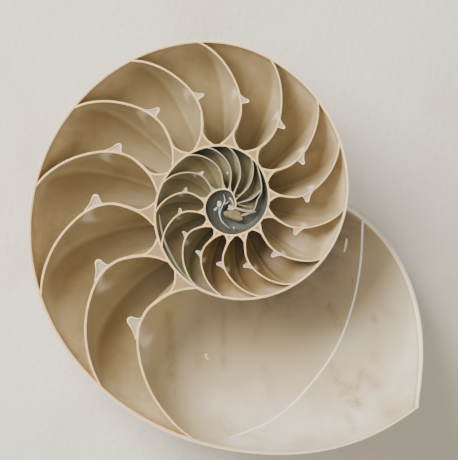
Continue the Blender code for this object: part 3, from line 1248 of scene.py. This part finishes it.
        # rear marks the chamber's far face, where the nacre shader paints shade.
        rear = np.interp(quarter, (0, 1, 2, 3), (0, 0, 1, 0))
        tongue = np.zeros_like(across)
        if self.has_tongue:
            tongue = tongue_share(across, row) * on_septum
        values = {"across": across, "row": row, "ahead": ahead, "turns": growth / 360,
                  "septum": on_septum, "dorsal": dorsal, "rear": rear, "tongue": tongue}
        draft.add_sheet(points, values, Side.TOWARDS, points[:self.levels // 2].mean(axis=(0, 1)),
                        closed=True)
        return points[0]


def tongue_share(across: Array, row: Array) -> Array:
    """Return how pale a septum's front is beside its neck, from 0 to 1: the funnel's pale nacre
    with a painted highlight.
    """
    away = (across - 0.485 - 0.11 * row) / (0.05 - 0.008 * np.clip(row, 0, 4))
    return np.exp(-np.abs(away) ** 3) * ease(0.05, 0.3, row) * ease(2.6, 1.6, row)


def rim_drop(size: Array | float) -> Array | float:
    """Return how far a chamber's rounded rim lies under the cut, in millimetres."""
    return 0.015 + 0.0014 * size


def chamber_start(index: int) -> Callable[[Array, Array], Array]:
    """Return the law of the face at which a chamber begins.

    Args:
        index: The chamber's number, 0 for the first hollow.

    Returns:
        The angle of growth by share across and row.
    """
    if index == 0:
        return lambda across, row: FIRST_CHAMBER_DEG + 0 * across + 0 * row
    return lambda across, row: SEPTA[index - 1].face(across, row, True)


def chamber_end(index: int) -> Callable[[Array, Array], Array]:
    """Return the law of the face at which a chamber ends.

    Args:
        index: The chamber's number, 0 for the first hollow.

    Returns:
        The angle of growth by share across and row.
    """
    if index == 0:
        return lambda across, row: BAND_END_DEG + 0 * across + 0 * row
    return lambda across, row: SEPTA[index].face(across, row, False)


@dataclass
class ChamberGroup:
    """Closed chambers that share one finish."""

    name: str
    first: int
    last: int
    finish: "NacreFinish | HollowFinish"
    levels: int = 30
    across_points: int = 44
    along_points: int = 32
    rims: list[Array] = field(default_factory=list)

    def build(self, effects: Effects) -> bpy.types.Object:
        """Build every lining of the group as one piece.

        Args:
            effects: The shared node groups.

        Returns:
            The piece.
        """
        draft = Draft()
        for index in range(self.first, self.last + 1):
            pocket = Pocket(chamber_start(index), chamber_end(index), SEPTA[index].middle,
                            self.levels, self.across_points,
                            self.along_points if index else 9 * self.along_points,
                            has_tongue=index > 6, winds=index == 0)
            self.rims.append(pocket.build(draft))
        return draft.to_object(self.name, self.finish.build(effects))


@dataclass
class LivingChamber:
    """The open last chamber: its lining from the last septum to the lip."""

    levels: int = 70
    across_points: int = 60
    along_points: int = 110
    corner_points: int = 7
    corner_mm: float = 3.0
    chamber_mm: float = 55.0
    row_power: float = 1.2
    rim: Array | None = None
    lip: Array | None = None
    floor_edge: Array | None = None

    def build(self, effects: Effects) -> bpy.types.Object:
        """Build the lining.

        Args:
            effects: The shared node groups.

        Returns:
            The piece.
        """
        row = self.rows()[:, None]
        open_up = ease(0.0, 1.3, row) * ease(6.0, 5.0, row)
        corner = (0.12 + self.corner_mm * open_up) / self.chamber_mm
        bend = np.linspace(0, math.pi / 2, self.corner_points + 2)[1:-1]
        even = np.linspace(0, 1, self.across_points)
        along = np.linspace(0, 1, self.along_points)
        across = np.concatenate((
            0 * row + 0 * along, corner - corner * np.cos(bend),
            corner + (1 - 2 * corner) * even, 1 - corner + corner * np.sin(bend),
            1 + 0 * row + 0 * along), axis=1)
        ahead = np.concatenate((
            1 - (1 - corner) * along, corner - corner * np.sin(bend),
            0 * row + 0 * even, corner - corner * np.cos(bend),
            corner + (1 - corner) * along), axis=1)
        turn = np.linspace(0, 1, self.corner_points + 2)[1:-1]
        quarter = np.concatenate((np.zeros(len(along)), turn, np.ones(len(even)), 1 + turn,
                                  2 * np.ones(len(along))))
        row = np.broadcast_to(row, across.shape)
        points, growth = self.points(across, ahead, row)
        points[0, :, 2] = -rim_drop(LIP_SIZE_MM)
        septum = np.interp(quarter, (0, 1, 2), (0, 1, 0))
        # dorsal marks the inner wall, where the lining shader paints shade.
        dorsal = np.interp(quarter, (0, 1), (1, 0)) + 0 * row
        tongue = tongue_share(across, row) * septum
        smudge = np.zeros(row.shape)
        for start, end, reach, share in SMUDGES:
            first, run = flat_mm(start), flat_mm(end) - flat_mm(start)
            offset = points[..., :2] - first
            near = np.clip(offset @ run / (run @ run), 0, 1)
            away = np.linalg.norm(offset - near[..., None] * run, axis=-1)
            smudge = np.maximum(smudge, share * np.exp(-(away / (reach * SPOT_MM)) ** 2))
        values = {"across": across, "row": row, "ahead": ahead, "turns": growth / 360,
                  "septum": septum, "dorsal": dorsal, "tongue": tongue, "smudge": smudge}
        draft = Draft()
        heart = points[:self.levels // 2].mean(axis=(0, 1))
        draft.add_sheet(points, values, Side.TOWARDS, heart)
        self.rim = points[0]
        self.lip = points[:, -1]
        floor_across, floor_ahead = np.meshgrid(np.linspace(0, 1, 40), np.linspace(0, 1, 60),
                                                indexing="ij")
        floor_row = np.full_like(floor_across, FORM.chamber_row)
        floor, growth = self.points(floor_across, floor_ahead, floor_row)
        draft.add_sheet(floor, {"across": floor_across, "row": floor_row, "ahead": floor_ahead,
                                "turns": growth / 360}, Side.TOWARDS, heart)
        self.floor_edge = floor[:, -1]
        return draft.to_object("living_chamber", LiningFinish().build(effects))

    def rows(self) -> Array:
        """Return the rows of the section from the cut to the floor."""
        return FORM.chamber_row * np.linspace(0, 1, self.levels) ** self.row_power

    def points(self, across: Array, ahead: Array, row: Array) -> tuple[Array, Array]:
        """Return points of the lining with their angles of growth.

        Args:
            across: Share of the way from the inner wall to the outer wall.
            ahead: Share of the way from the last septum to the lip.
            row: Row of the section.

        Returns:
            The points and their angles.
        """
        first = SEPTA[-1].face(across, row, True)
        growth = first + (FORM.lip_angle(row) - first) * ahead
        return FORM.place(growth, row, FORM.reach(growth, row, across)), growth


@dataclass
class OuterWall:
    """The shell's outer surface, its lip and the callus in the umbilicus."""

    rows: int = 72
    steps: int = 400
    lip_steps: int = 6
    rim: Array | None = None
    lip_arc: Array | None = None

    def build(self, effects: Effects, living: LivingChamber) -> bpy.types.Object:
        """Build the surface.

        Args:
            effects: The shared node groups.
            living: The finished living chamber, whose edge the lip meets.

        Returns:
            The piece.
        """
        draft = Draft()
        last = len(FORM.section_out) - 1.0
        row = last * np.linspace(0, 1, self.rows)[:, None] ** 1.15
        growth = FORM.lip_angle(row) - 360 + 360 * np.linspace(0, 1, self.steps)
        points = FORM.outside(growth, row)
        points[0, :, 2] = -rim_drop(LIP_SIZE_MM)
        middle = np.array((0.0, 0.0, -12.0))
        draft.add_sheet(points, {"row": row + 0 * growth, "turns": growth / 360}, Side.AWAY,
                        middle)
        self.rim = points[0]
        levels = living.rows()
        outer = FORM.outside(FORM.lip_angle(levels), levels)
        outer[0, 2] = living.lip[0, 2]
        share = np.linspace(0, 1, self.lip_steps)[:, None, None]
        ahead = FORM.outside(FORM.lip_angle(levels) + 0.5, levels) - outer
        ahead /= np.linalg.norm(ahead, axis=1, keepdims=True)
        thick = np.linalg.norm(outer - living.lip, axis=1)[:, None]
        band = outer * (1 - share) + living.lip * share
        band = band + ahead * thick * 0.5 * np.sin(math.pi * share)
        band[:, 0, 2] = outer[0, 2]
        self.lip_arc = band[1:-1, 0]
        draft.add_sheet(band, {"row": levels + 0 * share[..., 0], "turns": 0.87}, Side.AWAY,
                        outer.mean(axis=0) - 30 * ahead.mean(axis=0))
        tail = np.linspace(FORM.chamber_row, last, 12)
        step = np.stack((FORM.outside(FORM.lip_angle(tail), tail),
                         FORM.outside(FORM.lip_angle(tail) - 360, tail)))
        draft.add_sheet(step, {"row": tail + 0 * step[..., 0], "turns": 0.9}, Side.AWAY,
                        UNDER_LIP_MM)
        corner = np.broadcast_to(outer[-1], living.floor_edge.shape)
        fan = np.stack((corner, living.floor_edge))
        draft.add_sheet(fan, {"row": 6.0 + 0 * fan[..., 0], "turns": 0.9}, Side.AWAY,
                        UNDER_LIP_MM)
        return draft.to_object("outer_wall", PorcelainFinish().build(effects))


def inside_loops(points: Array, loops: Sequence[Array], bin_mm: float = 0.3) -> Array:
    """Tell which flat points lie inside an odd number of closed loops.

    Args:
        points: Points to test, two numbers each.
        loops: The loops, each a list of flat corners.
        bin_mm: Height of the strips that the work is cut into.

    Returns:
        One truth value per point.
    """
    first = np.concatenate([loop[:, :2] for loop in loops])
    second = np.concatenate([np.roll(loop[:, :2], -1, axis=0) for loop in loops])
    base = min(first[:, 1].min(), points[:, 1].min()) - bin_mm
    low = ((np.minimum(first[:, 1], second[:, 1]) - base) / bin_mm).astype(int)
    high = ((np.maximum(first[:, 1], second[:, 1]) - base) / bin_mm).astype(int)
    strip = ((points[:, 1] - base) / bin_mm).astype(int)
    order = np.argsort(strip, kind="stable")
    found = np.zeros(len(points), bool)
    bounds = np.searchsorted(strip[order], np.arange(strip.max() + 2))
    for number in range(strip.max() + 1):
        chosen = order[bounds[number]:bounds[number + 1]]
        if not len(chosen):
            continue
        edges = (low <= number) & (high >= number)
        ax, ay = first[edges, 0], first[edges, 1]
        bx, by = second[edges, 0], second[edges, 1]
        x, y = points[chosen, 0][:, None], points[chosen, 1][:, None]
        crosses = (ay > y) != (by > y)
        rise = np.where(by == ay, 1.0, by - ay)
        hits = crosses & (x < ax + (y - ay) * (bx - ax) / rise)
        found[chosen] = hits.sum(axis=1) % 2 == 1
    return found


def distance_to(points: Array, loops: Sequence[Array], fine: int = 3) -> Array:
    """Return each flat point's distance to the nearest loop.

    Args:
        points: Points, two numbers each.
        loops: Closed or open lines of flat corners.
        fine: How many steps each side of a loop is cut into.

    Returns:
        Distances in millimetres.
    """
    spots = []
    for loop in loops:
        ahead = np.roll(loop, -1, axis=0)
        for step in range(fine):
            spots.append(loop[:, :2] + (ahead - loop)[:, :2] * step / fine)
    spots = np.concatenate(spots)
    tree = KDTree(len(spots))
    for number, (x, y) in enumerate(spots.tolist()):
        tree.insert((x, y, 0.0), number)
    tree.balance()
    return np.array([tree.find((x, y, 0.0))[2] for x, y in points.tolist()])


@dataclass
class CutFace:
    """The sawn face between the outer rim and the chambers' rims."""

    spacing: float = 0.32
    clear: float = 0.12
    round_mm: float = 0.22
    hollow_mm: float = 0.12

    def build(self, effects: Effects, wall: OuterWall, living: LivingChamber,
              rims: Sequence[Array]) -> bpy.types.Object:
        """Build the face.

        Args:
            effects: The shared node groups.
            wall: The finished outer wall.
            living: The finished living chamber.
            rims: Rims of the closed chambers.

        Returns:
            The piece.
        """
        outline = np.concatenate((wall.rim, wall.lip_arc, living.rim[::-1][:-1]))
        loops = [outline] + list(rims)
        flat = np.concatenate([loop[:, :2] for loop in loops])
        edges = []
        first = 0
        for loop in loops:
            count = len(loop)
            edges.extend((first + i, first + (i + 1) % count) for i in range(count))
            first += count
        low = flat.min(axis=0)
        high = flat.max(axis=0)
        x, y = np.meshgrid(np.arange(low[0], high[0], self.spacing),
                           np.arange(low[1], high[1], self.spacing * 0.87))
        x = x + (np.arange(len(x)) % 2)[:, None] * self.spacing / 2
        grid = np.stack((x.ravel(), y.ravel()), axis=1)
        grid = grid[inside_loops(grid, loops)]
        grid = grid[distance_to(grid, loops) > self.clear]
        spots = [Vector(p) for p in np.concatenate((flat, grid)).tolist()]
        found, _, faces, _, _, _ = delaunay_2d_cdt(spots, edges, [], 0, 0.00001, False)
        found = np.array([tuple(p) for p in found])
        faces = np.array([face for face in faces if len(face) == 3])
        faces = faces[inside_loops(found[faces].mean(axis=1), loops)]
        used, faces = np.unique(faces, return_inverse=True)
        faces = faces.reshape(-1, 3)
        found = found[used]
        edge = distance_to(found, loops)
        skin = distance_to(found, [wall.rim])
        size = np.hypot(found[:, 0], found[:, 1])
        drop = rim_drop(np.minimum(size, LIP_SIZE_MM)) * (1 - ease(0, self.round_mm, edge))
        depth = drop + self.hollow_mm * ease(0.55, 1.0, edge)
        points = np.column_stack((found, -depth))
        corner = points[faces]
        normal = np.cross(corner[:, 1] - corner[:, 0], corner[:, 2] - corner[:, 0])
        faces[normal[:, 2] < 0] = faces[normal[:, 2] < 0][:, ::-1]
        draft = Draft()
        draft.add(points, faces, {"edge": edge, "skin": skin, "dull": self.dullness(found)})
        piece = draft.to_object("cut_face", SawnFinish().build(effects))
        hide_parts(NODE)
        return piece

    def dullness(self, spots: Array) -> Array:
        """Return how dull the cut is: 1 on the early septa and 0 on the whorls' walls.

        Args:
            spots: Flat spots on the cut.

        Returns:
            One value per spot.
        """
        size = np.hypot(spots[:, 0], spots[:, 1])
        angle = np.degrees(np.arctan2(spots[:, 1], spots[:, 0]))
        whorls = angle[:, None] + 360.0 * np.arange(-2, 1)
        outer = FORM.radius(whorls)
        number = np.minimum((outer < size[:, None] - 0.01).sum(axis=1), 2)
        at = np.arange(len(spots))
        growth = whorls[at, number]
        inwards = outer[at, number] - size
        wall = FORM.wall(growth, 0.0)
        return (1 - ease(-215, -180, growth)) * ease(wall, wall + 0.3, inwards)


@dataclass
class NeckRow:
    """Septal necks: a horn with a bright rim on the back of each septum."""

    first: int = 6
    across: float = 0.47
    shift_mm: float = 1.9
    sizes: tuple[tuple[float, float], ...] = (
        (0.26, 0.34), (0.26, 0.36), (0.27, 0.38), (0.3, 0.42), (0.34, 0.46), (0.4, 0.5),
        (0.4, 0.5), (0.44, 0.52), (0.5, 0.56), (0.52, 0.6), (0.5, 0.6), (0.46, 0.62),
        (0.46, 0.64), (0.48, 0.68), (0.62, 0.74), (0.78, 0.7), (0.88, 0.88), (0.96, 0.96),
        (1.0, 1.0))
    outline: tuple[tuple[float, float], ...] = (
        (-1.0, -0.3), (-0.35, 0.7), (0.0, 2.1), (0.0, 3.5), (0.45, 4.4), (1.4, 4.75),
        (2.4, 4.3), (3.3, 3.2), (4.5, 1.9), (5.9, 0.9), (7.6, -0.3))
    outline_points: int = 44
    base_points: int = 14
    heart: tuple[float, float] = (2.2, 1.2)
    rings: tuple[tuple[float, float, float], ...] = (
        (0.0, -0.62, 0.0), (0.35, -0.58, 0.0), (0.6, -0.5, 0.0), (0.74, -0.36, 0.1),
        (0.81, -0.14, 0.8), (0.88, -0.03, 1.0), (0.96, -0.03, 1.0), (1.0, -0.12, 1.0),
        (1.0, -0.4, 0.6), (0.93, -1.0, 0.2), (0.75, -1.7, 0.0), (0.4, -2.3, 0.0),
        (0.0, -2.5, 0.0))

    def build(self, effects: Effects) -> bpy.types.Object:
        """Build the horns as one piece.

        Args:
            effects: The shared node groups.

        Returns:
            The piece.
        """
        draft = Draft()
        for septum, size in zip(SEPTA[self.first:], self.sizes):
            self.add_horn(draft, septum, np.array(size))
        return draft.to_object("septal_necks", HornFinish().build(effects))

    def add_horn(self, draft: Draft, septum: Septum, size: Array) -> None:
        """Add one horn to a draft.

        Args:
            draft: The draft of the piece.
            septum: The septum that carries the horn.
            size: Its length along the septum and its height, as shares of the last one's.
        """
        near = 0.04
        angle = septum.course(self.across, 0.0, None)
        base = FORM.place(angle, 0.0, FORM.reach(angle, 0.0, self.across))
        ends = []
        for at in (self.across - near, self.across + near):
            turn = septum.course(at, 0.0, None)
            ends.append(FORM.place(turn, 0.0, FORM.reach(turn, 0.0, at)))
        along = ends[1] - ends[0]
        along /= np.linalg.norm(along)
        aim = np.array((along[1], -along[0], 0.0))
        smooth = fine_path(np.array(self.outline), self.outline_points)
        back = np.linspace(smooth[-1], smooth[0], self.base_points)[1:-1]
        loop = np.concatenate((smooth, back))
        heart = np.array(self.heart)
        points = []
        rims = []
        for share, deep, rim in self.rings:
            flat = (heart + (loop - heart) * share - (self.shift_mm, 0.0)) * size
            spots = base + flat[:, :1] * along + flat[:, 1:] * aim
            spots[:, 2] = deep * size.mean() - 0.03
            points.append(spots)
            rims.append(np.full(len(loop), rim))
        points = np.array(points)
        center = points.mean(axis=(0, 1))
        draft.add_sheet(points, {"rim": np.array(rims)}, Side.AWAY, center, closed=True)


COIL_SPOT = (230.0, 215.0)
SPOT_MM = 0.35
SMUDGES = (
    ((167, 328), (170, 390), 6, 0.4), ((197, 334), (197, 378), 5, 0.3),
    ((223, 319), (223, 381), 3.5, 0.45), ((267, 319), (254, 356), 5, 0.4),
    ((267, 384), (271, 409), 5, 0.35), ((333, 319), (344, 340), 3.5, 0.7),
    ((379, 330), (380, 334), 4, 0.85), ((388, 319), (397, 328), 5, 0.4),
    ((379, 347), (379, 371), 6, 0.4), ((334, 378), (341, 396), 3.5, 0.6),
    ((341, 396), (357, 403), 3, 0.65), ((348, 409), (361, 418), 5.5, 0.85),
    ((372, 393), (385, 403), 6, 0.55), ((360, 406), (366, 384), 3, 0.55),
    ((351, 431), (354, 443), 6, 0.4), ((391, 424), (394, 426), 7, 0.4),
)


def flat_mm(spots: Sequence[tuple[float, float]]) -> Array:
    """Turn laid-out spots, counted rightwards and downwards, into millimetres on the cut."""
    return (np.array(spots, float) - COIL_SPOT) * (SPOT_MM, -SPOT_MM)


def fine_path(spots: Array, count: int) -> Array:
    """Return a smooth path of evenly spaced points through flat spots.

    Args:
        spots: Spots in millimetres, two numbers each.
        count: How many points the path has.

    Returns:
        The path's points.
    """
    walk = np.concatenate(([0], np.cumsum(np.linalg.norm(np.diff(spots, axis=0), axis=1))))
    fine = np.linspace(0, walk[-1], count)
    return np.stack([curve_through(walk, spots[:, k], fine) for k in (0, 1)], axis=1)


def on_lining(flat: Array) -> tuple[Array, Array]:
    """Find the living chamber's lining under flat spots.

    Args:
        flat: Spots in millimetres, two numbers each.

    Returns:
        Points of the lining and the directions that look out of it.
    """
    growth = np.degrees(np.unwrap(np.arctan2(flat[:, 1], flat[:, 0])))
    growth = growth + 360 * round((300 - float(growth.mean())) / 360)
    rows = np.linspace(0.05, 5.5, 400)
    found = []
    for angle, distance in zip(growth, np.hypot(flat[:, 0], flat[:, 1])):
        out, _ = FORM.section(rows)
        spread = out * FORM.reach(np.full_like(rows, angle), rows, 1.0)
        found.append(np.interp(-distance, -spread, rows))
    row = np.array(found)
    center = FORM.place(growth, row, FORM.reach(growth, row, 1.0))
    down = FORM.place(growth, row + 0.05, FORM.reach(growth, row + 0.05, 1.0)) - center
    ahead = FORM.place(growth + 0.2, row, FORM.reach(growth + 0.2, row, 1.0)) - center
    normal = np.cross(ahead, down)
    normal /= np.linalg.norm(normal, axis=1, keepdims=True)
    return center, normal * np.sign(normal[:, 2:])


def ribbon(center: Array, normal: Array, half_width: Array | float, height: float,
           drop: float = 0.6) -> Array:
    """Return a low rounded ribbon along a path.

    Args:
        center: The path.
        normal: The direction that the ribbon's top looks in, by point.
        half_width: Half of the ribbon's width.
        height: Its height.
        drop: How far its sides go under the path, as a share of the height.

    Returns:
        A grid of corners.
    """
    tangent = np.gradient(center, axis=0)
    tangent /= np.linalg.norm(tangent, axis=1, keepdims=True)
    side = np.cross(normal, tangent)
    half = np.broadcast_to(half_width, len(center))[:, None]
    profile = ((-1.0, -drop), (-0.8, 0.35), (-0.4, 0.85), (0.0, 1.0), (0.4, 0.85),
               (0.8, 0.35), (1.0, -drop))
    return np.stack([center + side * (half * wide) + normal * (height * high)
                     for wide, high in profile])


@dataclass
class GrowthLine:
    """A fine pale line across the living chamber's lining."""

    spots: tuple[tuple[float, float], ...] = (
        (368.5, 230), (366, 272), (357, 318), (341, 360), (315, 397), (276, 433), (229, 452))
    half_width: float = 0.44
    height: float = 0.2

    def build(self, effects: Effects) -> bpy.types.Object:
        """Build the line as a low ribbon.

        Args:
            effects: The shared node groups.

        Returns:
            The piece.
        """
        center, normal = on_lining(fine_path(flat_mm(self.spots), 160))
        draft = Draft()
        draft.add_sheet(ribbon(center, normal, self.half_width, self.height), {},
                        Side.TOWARDS, ABOVE_MM)
        finish = PaleFinish("growth_line", shade(255, 250, 236), shade(250, 240, 218))
        return draft.to_object("growth_line", finish.build(effects))


@dataclass
class Slivers:
    """Thin slivers of one finish: on the cut, in the hollow or on the living lining."""

    name: str
    finish: PaleFinish
    paths: tuple[tuple[float, tuple[tuple[float, float], ...]], ...]
    deep: float = 0.3
    height: float = 0.15
    drop: float = 6.0
    lies_on_lining: bool = False

    def build(self, effects: Effects) -> bpy.types.Object:
        """Build the slivers as one piece.

        Args:
            effects: The shared node groups.

        Returns:
            The piece.
        """
        draft = Draft()
        for width, spots in self.paths:
            flat = fine_path(flat_mm(spots), 28)
            if self.lies_on_lining:
                center, normal = on_lining(flat)
            else:
                center = np.column_stack((flat, np.full(len(flat), -self.deep)))
                normal = np.zeros_like(center) + (0.0, 0.0, 1.0)
            walk = np.linspace(-1, 1, len(flat))
            half = 0.5 * width * SPOT_MM * np.maximum(1 - walk ** 4, 0.06) ** 0.5
            draft.add_sheet(ribbon(center, normal, half, self.height, self.drop), {},
                            Side.TOWARDS, ABOVE_MM)
        return draft.to_object(self.name, self.finish.build(effects))


WHITE_SLIVERS = (
    (4.4, ((218.8, 210.2), (219.2, 213.4), (218.4, 216.4))),
    (2.4, ((213.8, 219.8), (215.4, 218.6), (217.0, 216.8))),
    (1.2, ((223.4, 203.6), (224.8, 209.4), (221.9, 216.2), (219.7, 223.0), (220.7, 229.0),
           (225.4, 234.6), (230.0, 238.2))),
    (1.2, ((219.4, 216.6), (218.9, 222.0), (220.2, 227.4))),
    (2.0, ((229.2, 206.8), (232.2, 210.4), (233.4, 213.8))),
    (2.4, ((233.2, 214.6), (230.8, 217.6), (227.6, 218.6))),
    (1.1, ((228.4, 210.6), (226.6, 212.6), (223.0, 213.4))),
    (1.6, ((233.0, 236.4), (233.8, 237.4), (234.0, 238.4))),
    (2.2, ((226.8, 181.0), (227.4, 182.2), (227.6, 183.2))),
    (1.4, ((217.8, 178.2), (219.4, 179.6), (220.8, 180.6))),
)
TAN_SLIVERS = (
    (7.6, ((223.4, 222.4), (229.6, 224.0), (236.4, 226.4), (242.6, 228.8))),
    (4.6, ((228.6, 220.6), (234.4, 220.8), (240.6, 224.0))),
)
PALE_SLIVERS = (
    (3.0, ((240.8, 225.2), (246.0, 223.6), (251.0, 221.6), (256.2, 221.0))),
    (1.0, ((235.8, 205.0), (240.8, 203.4), (245.0, 199.6), (246.4, 195.0))),
    (1.0, ((236.2, 212.6), (241.0, 214.6), (248.4, 216.2))),
)
LINING_SLIVERS = (
    (2.6, ((351.6, 248.0), (351.0, 254.0), (348.8, 262.8))),
    (2.0, ((203.6, 367.6), (205.6, 371.0), (207.8, 373.8))),
    (1.6, ((206.6, 367.4), (205.4, 369.4))),
    (1.4, ((349.4, 255.4), (350.8, 252.2), (351.2, 250.0))),
)
CUT_SPECKS = (
    (1.5, ((221.2, 304.8), (223.4, 305.6))),
)
LINING_SPECKS = (
    (0.8, ((173.4, 400.0), (173.2, 409.0), (174.4, 419.0))),
    (0.9, ((357.4, 290.6), (357.9, 295.4))),
)
WHORL_EDGE = (
    (2.8, ((158.4, 224.0), (160.6, 238.0), (164.4, 252.0), (170.6, 265.0), (180.0, 280.6),
           (192.6, 293.2), (206.0, 301.0), (217.0, 303.8))),
)


@dataclass(frozen=True)
class SoftLight:
    """A square soft light, placed by its way right, up and out of the picture."""

    name: str
    place_m: tuple[float, float, float]
    side_m: float
    power_w: float
    color: Color


@dataclass
class Studio:
    """Floor, lights and camera."""

    distance: float = 1.2
    frame_mm: float = 162.5
    aim_mm: tuple[float, float] = (-0.4, -8.6)
    floor_half_m: float = 2.5
    sensor_mm: float = 36.0
    near_m: float = 0.01
    lights: tuple[SoftLight, ...] = (
        SoftLight("key", (-0.85, 0.72, 1.15), 0.9, 56.0, (1.0, 0.97, 0.92)),
        SoftLight("fill", (0.3, -0.3, 1.7), 1.8, 9.0, (1.0, 0.98, 0.95)))
    world_color: Color = (0.96, 0.95, 0.92)
    world_strength: float = 0.55

    def axes(self) -> tuple[Vector, Vector, Vector]:
        """Return the directions right, up and out of the picture."""
        turn = POSE.turn()
        return turn @ Vector((1, 0, 0)), turn @ Vector((0, 1, 0)), turn @ Vector((0, 0, 1))

    def build(self, effects: Effects) -> None:
        """Build the floor, the lights and the camera.

        Args:
            effects: The shared node groups.
        """
        low = min((o.matrix_world @ v.co).z for o in bpy.data.objects
                  if o.type == "MESH" and "outer_wall" in o.name for v in o.data.vertices)
        mesh = bpy.data.meshes.new("floor")
        half = self.floor_half_m
        mesh.from_pydata([(-half, -half, low), (half, -half, low), (half, half, low),
                          (-half, half, low)], [], [(0, 1, 2, 3)])
        mesh.materials.append(PlasterFinish().build(effects))
        new_object("floor", mesh)

        right, up, out = self.axes()
        spot = np.array([[self.aim_mm[0], self.aim_mm[1], 0.0]])
        aim = Vector(POSE.to_world(spot)[0])
        camera = bpy.data.cameras.new("camera")
        camera.sensor_width = self.sensor_mm
        camera.lens = self.sensor_mm * self.distance / (self.frame_mm * MM)
        camera.clip_start = self.near_m
        holder = new_object("camera", camera)
        holder.matrix_world = Matrix((
            (right.x, up.x, out.x, 0), (right.y, up.y, out.y, 0), (right.z, up.z, out.z, 0),
            (0, 0, 0, 1)))
        holder.location = aim + out * self.distance
        bpy.context.scene.camera = holder

        for light in self.lights:
            aside, above, away = light.place_m
            self.add_light(light, aim + (aside * right + above * up + away * out), aim)
        world = bpy.data.worlds.new("studio")
        world.use_nodes = True
        sky = world.node_tree.nodes["Background"]
        sky.inputs["Color"].default_value = (*self.world_color, 1)
        sky.inputs["Strength"].default_value = self.world_strength
        bpy.context.scene.world = world

    def add_light(self, light: SoftLight, place: Vector, aim: Vector) -> None:
        """Add a square soft light.

        Args:
            light: Its name, size, power and color.
            place: Where it hangs.
            aim: What it points at.
        """
        data = bpy.data.lights.new(light.name, "AREA")
        data.shape = "SQUARE"
        data.size = light.side_m
        data.energy = light.power_w
        data.color = light.color
        lamp = new_object(light.name, data)
        lamp.location = place
        lamp.rotation_euler = (aim - place).to_track_quat("-Z", "Y").to_euler()


OUTER_NACRE = NacreFinish(
    "outer_nacre", gold=shade(224, 203, 160), brown=shade(180, 160, 118),
    taupe=shade(180, 163, 126), septum=shade(190, 173, 134), shade_and_patch=shade(142, 120, 80),
    tongue=shade(248, 232, 198), streak=shade(144, 118, 76))
MIDDLE_NACRE = NacreFinish(
    "middle_nacre", gold=shade(230, 210, 166), brown=shade(194, 172, 129),
    taupe=shade(150, 128, 90), septum=shade(182, 163, 124), shade_and_patch=shade(132, 108, 68),
    tongue=shade(246, 230, 194), streak=shade(144, 118, 76))
LOWER_NACRE = NacreFinish(
    "lower_nacre", gold=shade(206, 187, 150), brown=shade(122, 98, 60),
    taupe=shade(110, 86, 52), septum=shade(156, 134, 94), shade_and_patch=shade(96, 75, 43),
    tongue=shade(240, 222, 186), streak=shade(108, 84, 50), rim=shade(150, 116, 66))
INNER_NACRE = NacreFinish(
    "inner_nacre", gold=shade(166, 158, 132), brown=shade(140, 127, 90),
    taupe=shade(128, 114, 80), septum=shade(154, 142, 106), shade_and_patch=shade(96, 85, 58),
    tongue=shade(220, 212, 190), streak=shade(96, 86, 60), rim=shade(128, 112, 80))
FIRST_NACRE = NacreFinish(
    "first_nacre", gold=shade(68, 69, 58), brown=shade(134, 126, 94), gold_rows=(0.8, 3.4),
    taupe=shade(160, 151, 118), septum=shade(160, 151, 118), shade_and_patch=shade(112, 103, 76),
    tongue=shade(206, 200, 180), streak=shade(92, 88, 70), rim=shade(120, 112, 88))


SLIVERS = (
    Slivers("centre_flakes", PaleFinish("flake_nacre", shade(188, 190, 180),
                                        shade(120, 118, 108), 0.35), WHITE_SLIVERS),
    Slivers("centre_blades", PaleFinish("blade_nacre", shade(118, 102, 70), shade(92, 80, 54)),
            TAN_SLIVERS, deep=0.55),
    Slivers("centre_leaf", PaleFinish("leaf_nacre", shade(150, 142, 118), shade(110, 102, 80)),
            PALE_SLIVERS, deep=0.4),
    Slivers("lining_chips", PaleFinish("chip_nacre", shade(246, 234, 208),
                                       shade(210, 190, 152)),
            LINING_SLIVERS, drop=0.6, lies_on_lining=True),
    Slivers("cut_speck", PaleFinish("speck_brown", shade(84, 70, 48), shade(58, 48, 34)),
            CUT_SPECKS, deep=0.0, drop=2.0),
    Slivers("lining_specks", PaleFinish("mark_brown", shade(136, 116, 84),
                                        shade(104, 86, 60)),
            LINING_SPECKS, drop=0.6, lies_on_lining=True),
    Slivers("whorl_edge", PaleFinish("edge_nacre", shade(120, 114, 100), shade(92, 88, 76)),
            WHORL_EDGE, deep=0.25),
)


def main() -> None:
    """Build every piece of the scene."""
    logging.basicConfig(level=logging.INFO, format="%(name)s: %(message)s")
    effects = Effects()
    groups = [
        ChamberGroup("chambers_outer", 17, 24, OUTER_NACRE, 32, 46, 36),
        ChamberGroup("chambers_middle", 14, 16, MIDDLE_NACRE, 28, 36, 30),
        ChamberGroup("chambers_lower", 11, 13, LOWER_NACRE, 28, 36, 30),
        ChamberGroup("chambers_inner", 6, 10, INNER_NACRE, 24, 30, 26),
        ChamberGroup("chambers_early", 1, 5, FIRST_NACRE, 24, 30, 26),
        ChamberGroup("first_hollow", 0, 0, HollowFinish(), 24, 30, 26),
    ]
    for group in groups:
        group.build(effects)
    living = LivingChamber()
    living.build(effects)
    wall = OuterWall()
    wall.build(effects, living)
    rims = [rim for group in groups for rim in group.rims]
    CutFace().build(effects, wall, living, rims)
    NeckRow().build(effects)
    GrowthLine().build(effects)
    for slivers in SLIVERS:
        slivers.build(effects)
    Studio().build(effects)


if __name__ == "__main__":
    main()
